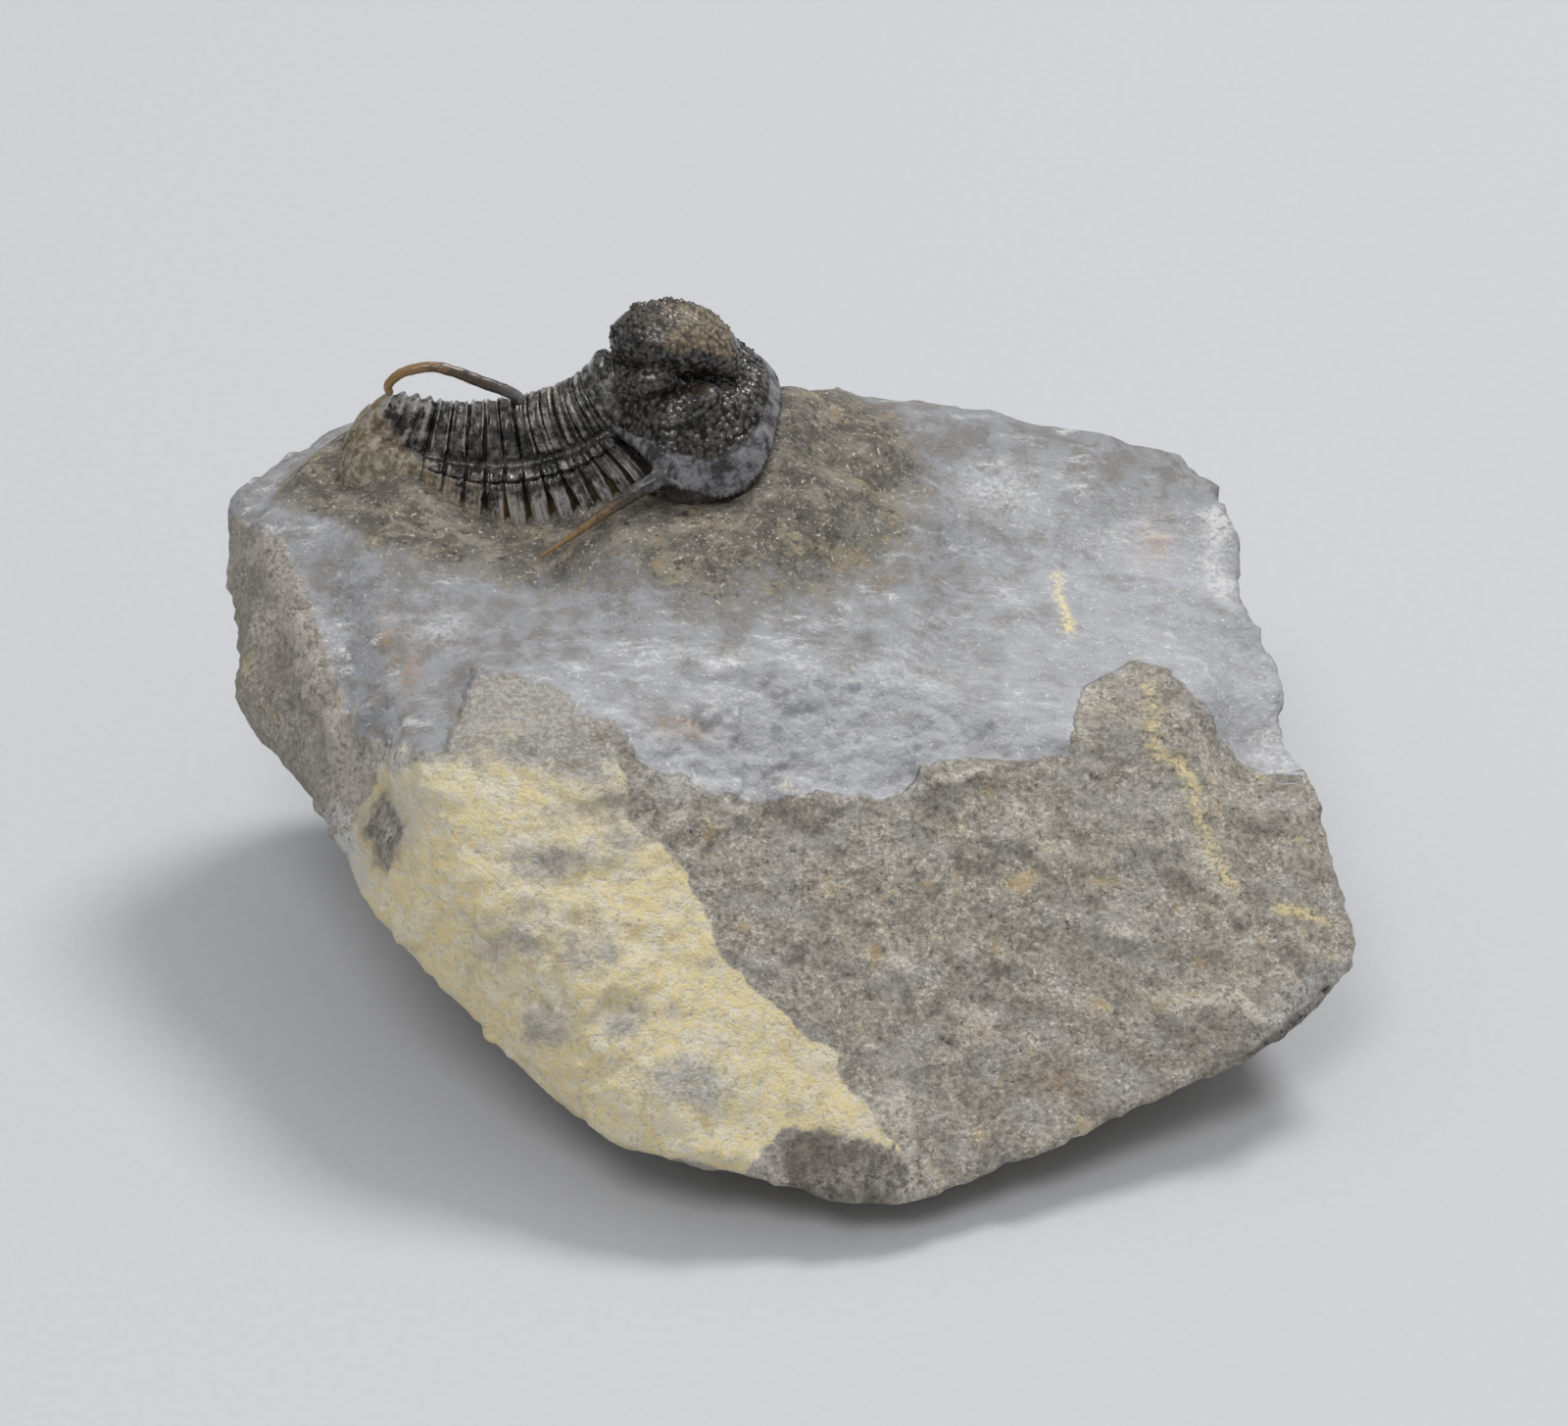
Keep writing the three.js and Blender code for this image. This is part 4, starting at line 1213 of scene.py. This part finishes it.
thorax = {
    "arch": [  # side and height from the axis to the tip
        (0, 2.5), (0.75, 2.33), (1.4, 1.75), (1.8, 0.85), (2.0, 0.1), (2.35, 0.02), (2.9, 0), (3.5, -0.4),
        (4.05, -1.25), (4.4, -2.1), (4.5, -2.75),
    ],
    "bandProfile": [  # place from the front of the segment to its rear, and rise: flat bands near the head
        (0, -0.18), (0.03, -0.08), (0.08, 0.02), (0.2, 0.05), (0.32, 0.02), (0.38, -0.04), (0.41, -0.08),
        (0.44, -0.02), (0.49, 0.05), (0.68, 0.08), (0.86, 0.05), (0.94, -0.0), (0.98, -0.09), (1, -0.18),
    ],
    "rimProfile": [  # cells with thin rims toward the tail
        (0, -0.18), (0.04, -0.06), (0.1, 0.09), (0.17, 0.02), (0.27, -0.06), (0.45, -0.07), (0.62, -0.06),
        (0.73, 0.0), (0.81, 0.09), (0.87, 0.0), (0.94, -0.1), (1, -0.18),
    ],
    "tipProfile": [  # of the plates at the ribs' ends
        (0, -0.26), (0.05, -0.16), (0.1, 0.0), (0.18, 0.07), (0.3, 0.05), (0.38, 0.02), (0.5, 0.05),
        (0.62, 0.08), (0.74, 0.06), (0.84, 0.02), (0.9, -0.03), (0.96, -0.16), (1, -0.26),
    ],
    "fulcrum": 0.655,
    "fulcrumCrack": 0.24,
    "axialFurrow": 0.1,
    "across": 190,
    "along": 36,
    "lines": 4.5,  # fine ridges along each plate
    "lineHeight": 0.03,
    "wander": 0.09,  # of the bands, as a share of the segment's length
    "grainHeight": 0.05,
    "dentHeight": 0.11,
    "tipSpread": 0.14,  # of the ribs' ends, up and down
    "floor": [(3.6, -4.2), (2.4, -4.3), (1.2, -4.4), (0, -4.4), (-1.2, -4.4), (-2.4, -4.3), (-3.6, -4.2)],
    "spineOn": 6,
    "axialSpine": [  # middle and radius at each stop, in millimetres as the photo sees them
        (-13.15, 5.85, 26.0, 0.26), (-13.27, 5.85, 26.55, 0.28), (-13.42, 5.85, 27.1, 0.3),
        (-13.95, 5.85, 27.5, 0.33), (-14.7, 5.85, 27.82, 0.32), (-15.6, 5.85, 28.2, 0.31),
        (-16.55, 5.85, 28.6, 0.29), (-17.4, 5.85, 28.87, 0.28), (-18.15, 5.85, 28.88, 0.27),
        (-19.1, 5.85, 28.65, 0.26), (-19.67, 5.85, 28.27, 0.25), (-20.0, 5.85, 27.83, 0.24),
        (-19.92, 5.85, 27.4, 0.2),
    ],
}


def archAt(share):  # side, height and outward normal of the arch, share from 0 at the axis to 1 at the tip
    place = throughPoints(thorax["arch"], share)
    ahead = throughPoints(thorax["arch"], np.minimum(share + 0.004, 1))
    back = throughPoints(thorax["arch"], np.maximum(share - 0.004, 0))
    run = unit(ahead - back)
    normal = np.stack([-run[..., 1], run[..., 0]], -1)
    return place, np.where(share[..., None] < 0.004, np.array([0, 1.0]), normal)


def archGrid(along):  # rows along the body and across from tip to tip, and the share of the way to a tip
    across = np.linspace(-1, 1, 2 * thorax["across"] + 1)
    gx, ga = np.meshgrid(along, across, indexing="ij")
    return gx, ga, np.abs(ga)


def sheetNoise(ahead, aside, size, octaves, seed):  # noise drawn on the arch laid flat
    spots = np.stack([ahead, aside, ahead * 0], -1)
    return rough(spots.reshape(-1, 3), size, octaves, seed).reshape(ahead.shape)


def raisedArch(across, relief):  # side and height of the arch with its relief
    place, normal = archAt(np.abs(across))
    raised = place + normal * relief[..., None]
    return np.sign(across) * raised[..., 0], raised[..., 1]


def makeArchShell(name, node, bend, top, floor, middle, material, paints, spines=()):
    rings = np.concatenate([top, floor], axis=1)
    quads, caps = tubeFaces(*rings.shape[:2])
    ends = thoraxPoint(bend[[0, -1], 0], 0.0, middle)
    points = np.concatenate([rings.reshape(-1, 3), ends])
    onFloor = ((0, 0), (0, floor.shape[1]))  # floor and ends have no paint
    paints = {key: np.append(np.pad(values, onFloor), [0, 0]) for key, values in paints.items()}
    return makeShell(name, node, points, [quads, caps], material, paints, spines)


def segmentRelief(share, x, number):
    profile = lambda key, place: np.interp(place, *np.array(thorax[key]).T)
    jitter = 0.045 * np.sin(number * 2.3 + share * 7) + 0.03 * np.sin(number * 5.3 - share * 17)
    toTail = smooth(4, 8, float(number))
    onRing = (1 - toTail) * profile("bandProfile", x + jitter) + toTail * profile("rimProfile", x + jitter)
    centre = 0.5 + jitter
    wide = 1 - 0.14 * smooth(0.7, 0.86, share) - 0.72 * smooth(0.86, 1.0, share) ** 1.2
    onTip = profile("tipProfile", np.clip(centre + (x - centre) / wide, 0, 1))
    onTip -= 0.3 * smooth(0.42, 0.56, np.abs(x - centre) / wide) * smooth(0.7, 0.95, share)
    # the crack at the fulcrum steps back and forth with the plates' square tops
    step = smooth(0.1, 0.2, x) * smooth(0.9, 0.8, x)
    toothed = thorax["fulcrum"] + 0.016 * step - 0.008 + 0.006 * math.sin(number * 5.1)
    outer = smooth(toothed - 0.004, toothed + 0.01, share)
    furrow = smooth(0.35, 0.4, share) * smooth(0.55, 0.46, share)
    relief = onRing * (1 - 0.85 * furrow) * (1 - outer) + onTip * outer
    relief -= thorax["fulcrumCrack"] * hill((share - toothed) / 0.011) + thorax["axialFurrow"] * furrow
    relief += 0.06 * hill((share - toothed - 0.04) / 0.025)
    return relief


def makeSegment(number, material):
    front = jointBend((number - 1) / body["segments"])
    pitch = front - jointBend(number / body["segments"])
    gx, ga, share = archGrid(np.linspace(0.004, 0.996, thorax["along"]))
    bend = front - gx * pitch
    ahead = gx * 3 + number * 3.1  # so that no two segments are alike
    warp = thorax["wander"] * sheetNoise(ahead, ga * 6, 1.6, 2, 71) * hill((gx - 0.5) / 0.6)
    relief = segmentRelief(share, gx + warp, number)
    outer = smooth(0.66, 0.69, share)
    drawn = thorax["lines"] * gx + 0.8 * sheetNoise(ahead, ga * 2, 0.9, 2, 61)
    lines = thorax["lineHeight"] * np.sin(2 * math.pi * drawn)
    relief = relief + lines * outer + thorax["grainHeight"] * sheetNoise(ahead, ga * 6, 0.5, 3, 31)
    relief = relief + thorax["dentHeight"] * sheetNoise(ahead, ga * 6, 1.3, 2, 37)
    side, height = raisedArch(ga, relief)
    uneven = thorax["tipSpread"] * np.sin(number * 2.7 + np.sign(ga)) * smooth(0.75, 1.0, share)
    top = archPoint(bend, side, height + uneven)
    floor = archPoint(bend[:, :1], *np.array(thorax["floor"]).T)
    # paints
    toTail = smooth(3, 11, float(number))
    speck = sheetNoise(ahead, ga * 6, 1.2, 3, 47)
    dust = (smooth(0.5, 0.6, share) * (0.2 + 0.25 * toTail) + 0.3 * toTail) * smooth(-0.3, 0.4, speck)
    amber = smooth(0.72, 0.9, share + 0.15 * speck) * (0.65 + 0.35 * toTail) * smooth(0.02, -0.12, relief)
    amber = np.maximum(amber, 0.7 * smooth(0.93, 1.0, share + 0.05 * speck))
    amber = np.maximum(amber, 0.5 * toTail * smooth(0.62, 0.7, share) * smooth(-0.1, 0.5, speck))
    # painted sheen on the axial ridges and on the inner and outer plates, more toward the tail
    ridge = smooth(-0.02, 0.07, relief) * (1 - outer) * smooth(0.36, 0.33, share)
    plate = outer * smooth(-0.06, 0.05, relief) * smooth(0.68, 0.8, share)
    inner = smooth(0.5, 0.54, share) * (1 - outer) * smooth(-0.08, 0.05, relief)
    sheen = np.max([0.8 * plate, 0.4 * inner, 0.55 * ridge], axis=0) * (1 + 0.6 * speck)
    sheen = sheen * (0.7 + 0.3 * smooth(1, 5, float(number))) + 0.12 + 0.3 * smooth(9, 12, float(number))
    paints = {
        "dust": dust,
        "amber": amber,
        "paintedSheen": sheen,
        "knob": outer * smooth(0.0, 0.012, lines),
        # painted shade in the grooves between and across the segments, less where amber shows
        "gap": 0.8 * smooth(-0.07, -0.2, relief) * (1 - 0.8 * amber),
    }
    spines = [spineTube(thorax["axialSpine"], 9, 24, 12)] if number == thorax["spineOn"] else []
    name, node = f"segmentShell{number:02d}", f"thoracic_segment_{number:02d}"
    return makeArchShell(name, node, bend, top, floor, -2.2, material, paints, spines)


# The tail shield, closing the arch over its last quarter turn.

tail = {
    "length": 3.36,
    "rings": 110,
    "axisRings": 4,
    "ribs": 4,
    "ringHeight": 0.156,
    "ribHeight": 0.13,
    "furrow": 0.078,
    "crustHeight": 0.05,
}


def makeTail(material):
    gt, ga, share = archGrid(np.linspace(0.01, 0.985, tail["rings"]))
    turn = gt * math.pi / 2
    bend = body["tailBend"] - np.sin(turn) * tail["length"] / body["bendRadius"]
    size = np.cos(turn) ** 0.5
    onAxis = smooth(0.42, 0.36, share)
    rings = np.cos(2 * math.pi * tail["axisRings"] * np.sin(turn))
    ribs = np.cos(2 * math.pi * tail["ribs"] * (np.sin(turn) * 0.9 - 0.25 * (share - 0.4)))
    relief = tail["ribHeight"] * (1 - onAxis) * ribs * smooth(1, 0.85, share)
    relief = -(relief + tail["ringHeight"] * onAxis * rings) * smooth(1.0, 0.7, gt)
    relief = relief - tail["furrow"] * hill((share - 0.4) / 0.03)
    crust = sheetNoise(gt * 3, ga * 6, 0.7, 4, 53)
    relief = relief + tail["crustHeight"] * crust * smooth(0.2, 0.8, gt)
    side, height = raisedArch(ga, relief)
    end = body["tailEndHeight"]
    top = thoraxPoint(bend, side * size * body["tailWidth"], end + (height * body["tailHeight"] - end) * size)
    wide = size[:, :1] * body["tailWidth"]
    low = end + (-4.2 - end) * size[:, :1] - 0.8
    floor = thoraxPoint(bend[:, :1], np.array(thorax["floor"])[:, 0] * wide, low)
    # paints
    amber = smooth(0.35, 0.95, gt + 0.3 * crust) * (0.5 + 0.5 * smooth(-0.3, 0.3, crust))
    paints = {
        "dust": 0.25 + 0.5 * smooth(0.5, 0.95, gt + 0.4 * crust),
        "amber": 0.45 * np.maximum(amber, smooth(0.85, 1, share + 0.1 * crust)),
        # painted sheen over the tail shield, stronger on its raised ribs and the crust
        "paintedSheen": 0.55 + 0.25 * smooth(0.0, 0.1, relief) + 0.4 * crust,
        "knob": smooth(0.1, 0.5, crust) * smooth(0.2, 0.6, gt),
        # painted shade in the tail's grooves
        "gap": 0.5 * smooth(-0.04, -0.16, relief) * smooth(0.9, 0.5, gt),
    }
    return makeArchShell("tailShield", "pygidium", bend, top, floor, -2.6, material, paints)


shellColours = {
    # black is also laid as painted shade in the gaps and grooves
    "black": (0.011, 0.01, 0.009),
    "slate": (0.14, 0.13, 0.122),
    # sheen: a pale grey standing for light reflected off the glossy black shell, laid as painted sheen
    "sheen": (0.41, 0.39, 0.37),
    # border: grey of the head's border, laid as painted sheen on its upward faces; borderDark is its darker
    # patches
    "border": (0.27, 0.268, 0.28),
    "borderDark": (0.045, 0.044, 0.046),
    "sediment": (0.40, 0.36, 0.28),
    "sedimentDark": (0.19, 0.16, 0.12),
    "brown": (0.085, 0.062, 0.04),
    "dust": (0.33, 0.255, 0.165),
    "knobTip": (0.085, 0.075, 0.063),
    "amber": (0.16, 0.09, 0.032),
    "amberTip": (0.27, 0.155, 0.055),
    "horn": (0.055, 0.038, 0.025),
    "eye": (0.024, 0.012, 0.007),
}


def shellFinish():
    f = Finish("blackShell", shellColours)
    fine = f.noise(0.14, 4, 0.7)
    small = f.noise(0.4, 4, 0.7)
    middle = f.noise(1.0, 4, 0.65, shift=(2, 5, 1))
    wide = f.noise(2.6, 3)
    colour = f.blend(f.span(f.total((small, 0.6), (middle, 0.4)), 0.44, 0.62), "black", "slate")
    colour = f.coat(colour, "brown", wide, 0.48, 0.66, 0.6)
    # painted sheen where the sheen paint and the noise run high
    sheenShare = f.total((f.mask("paintedSheen"), 1), (small, 1.6), (middle, 1.6), start=-1.6)
    colour = f.coat(colour, "sheen", sheenShare, 0.35, 1.0, 0.9)
    # painted sheen on the border's upward faces, patchy with the noise
    border = f.blend(f.span(f.total((middle, 0.6), (small, 0.4)), 0.4, 0.6), "borderDark", "border")
    colour = f.blend(f.times(f.mask("border"), 0.95), colour, border)
    colour = f.blend(f.times(f.mask("knob"), f.span(middle, 0.4, 0.62, 0.05, 0.7)), colour, "knobTip")
    dustShare = f.span(f.total((f.mask("dust"), 1), (middle, 1.2), start=-0.6), 0.2, 0.9)
    dustShare = f.times(dustShare, f.total((f.mask("knob"), 0.4), (f.span(small, 0.4, 0.6, 0.12, 0.6), 1)))
    colour = f.blend(dustShare, colour, "dust")
    amberShare = f.total((f.mask("amber"), 1), (middle, 1.2), start=-0.6)
    colour = f.coat(colour, "amber", amberShare, 0.3, 0.8, 0.8)
    colour = f.blend(f.times(f.mask("eye"), f.span(fine, 0.3, 0.7, 0.7, 0.95)), colour, "eye")
    # painted shade: black laid in the grooves and between the granules
    colour = f.blend(f.times(f.mask("gap"), 0.85), colour, "black")
    crust = f.blend(f.span(small, 0.4, 0.6), "sedimentDark", "sediment")
    crust = f.coat(crust, "amber", middle, 0.5, 0.62, 0.7)
    colour = f.blend(f.mask("sediment"), colour, crust)
    toTip = f.total((f.mask("spine"), 1), (small, 0.9), start=-0.45)
    horn = f.blend(f.span(toTip, 0.3, 0.7), "horn", "amberTip")
    colour = f.blend(f.span(f.mask("spine"), 0.02, 0.3), colour, horn)
    dull = f.largest(f.times(f.mask("eye"), 0.7), f.times(f.mask("gap"), 0.9), dustShare,
                     f.times(f.mask("border"), 0.7), f.mask("sediment"))
    roughness = f.total((f.span(small, 0.35, 0.65, 0.16, 0.38), 1), (dull, 0.45))
    gloss = {
        "Coat Weight": f.span(dull, 0.0, 1.0, 0.65, 0.0),
        "Coat Roughness": 0.2,
        "Specular IOR Level": f.span(dull, 0.0, 1.0, 0.5, 0.12),
    }
    return f.done(colour, roughness, f.bump(f.total((fine, 0.4), (small, 1)), 0.045, 0.6), gloss)


makeBlock(stoneFinish())
shell = shellFinish()
makeHead(shell)
for number in range(1, body["segments"] + 1):
    makeSegment(number, shell)
makeTail(shell)
makeStudio()

({
    "cad": [list(corner) for corner in cadBox],
    "visual": [list(corner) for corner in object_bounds()],
})
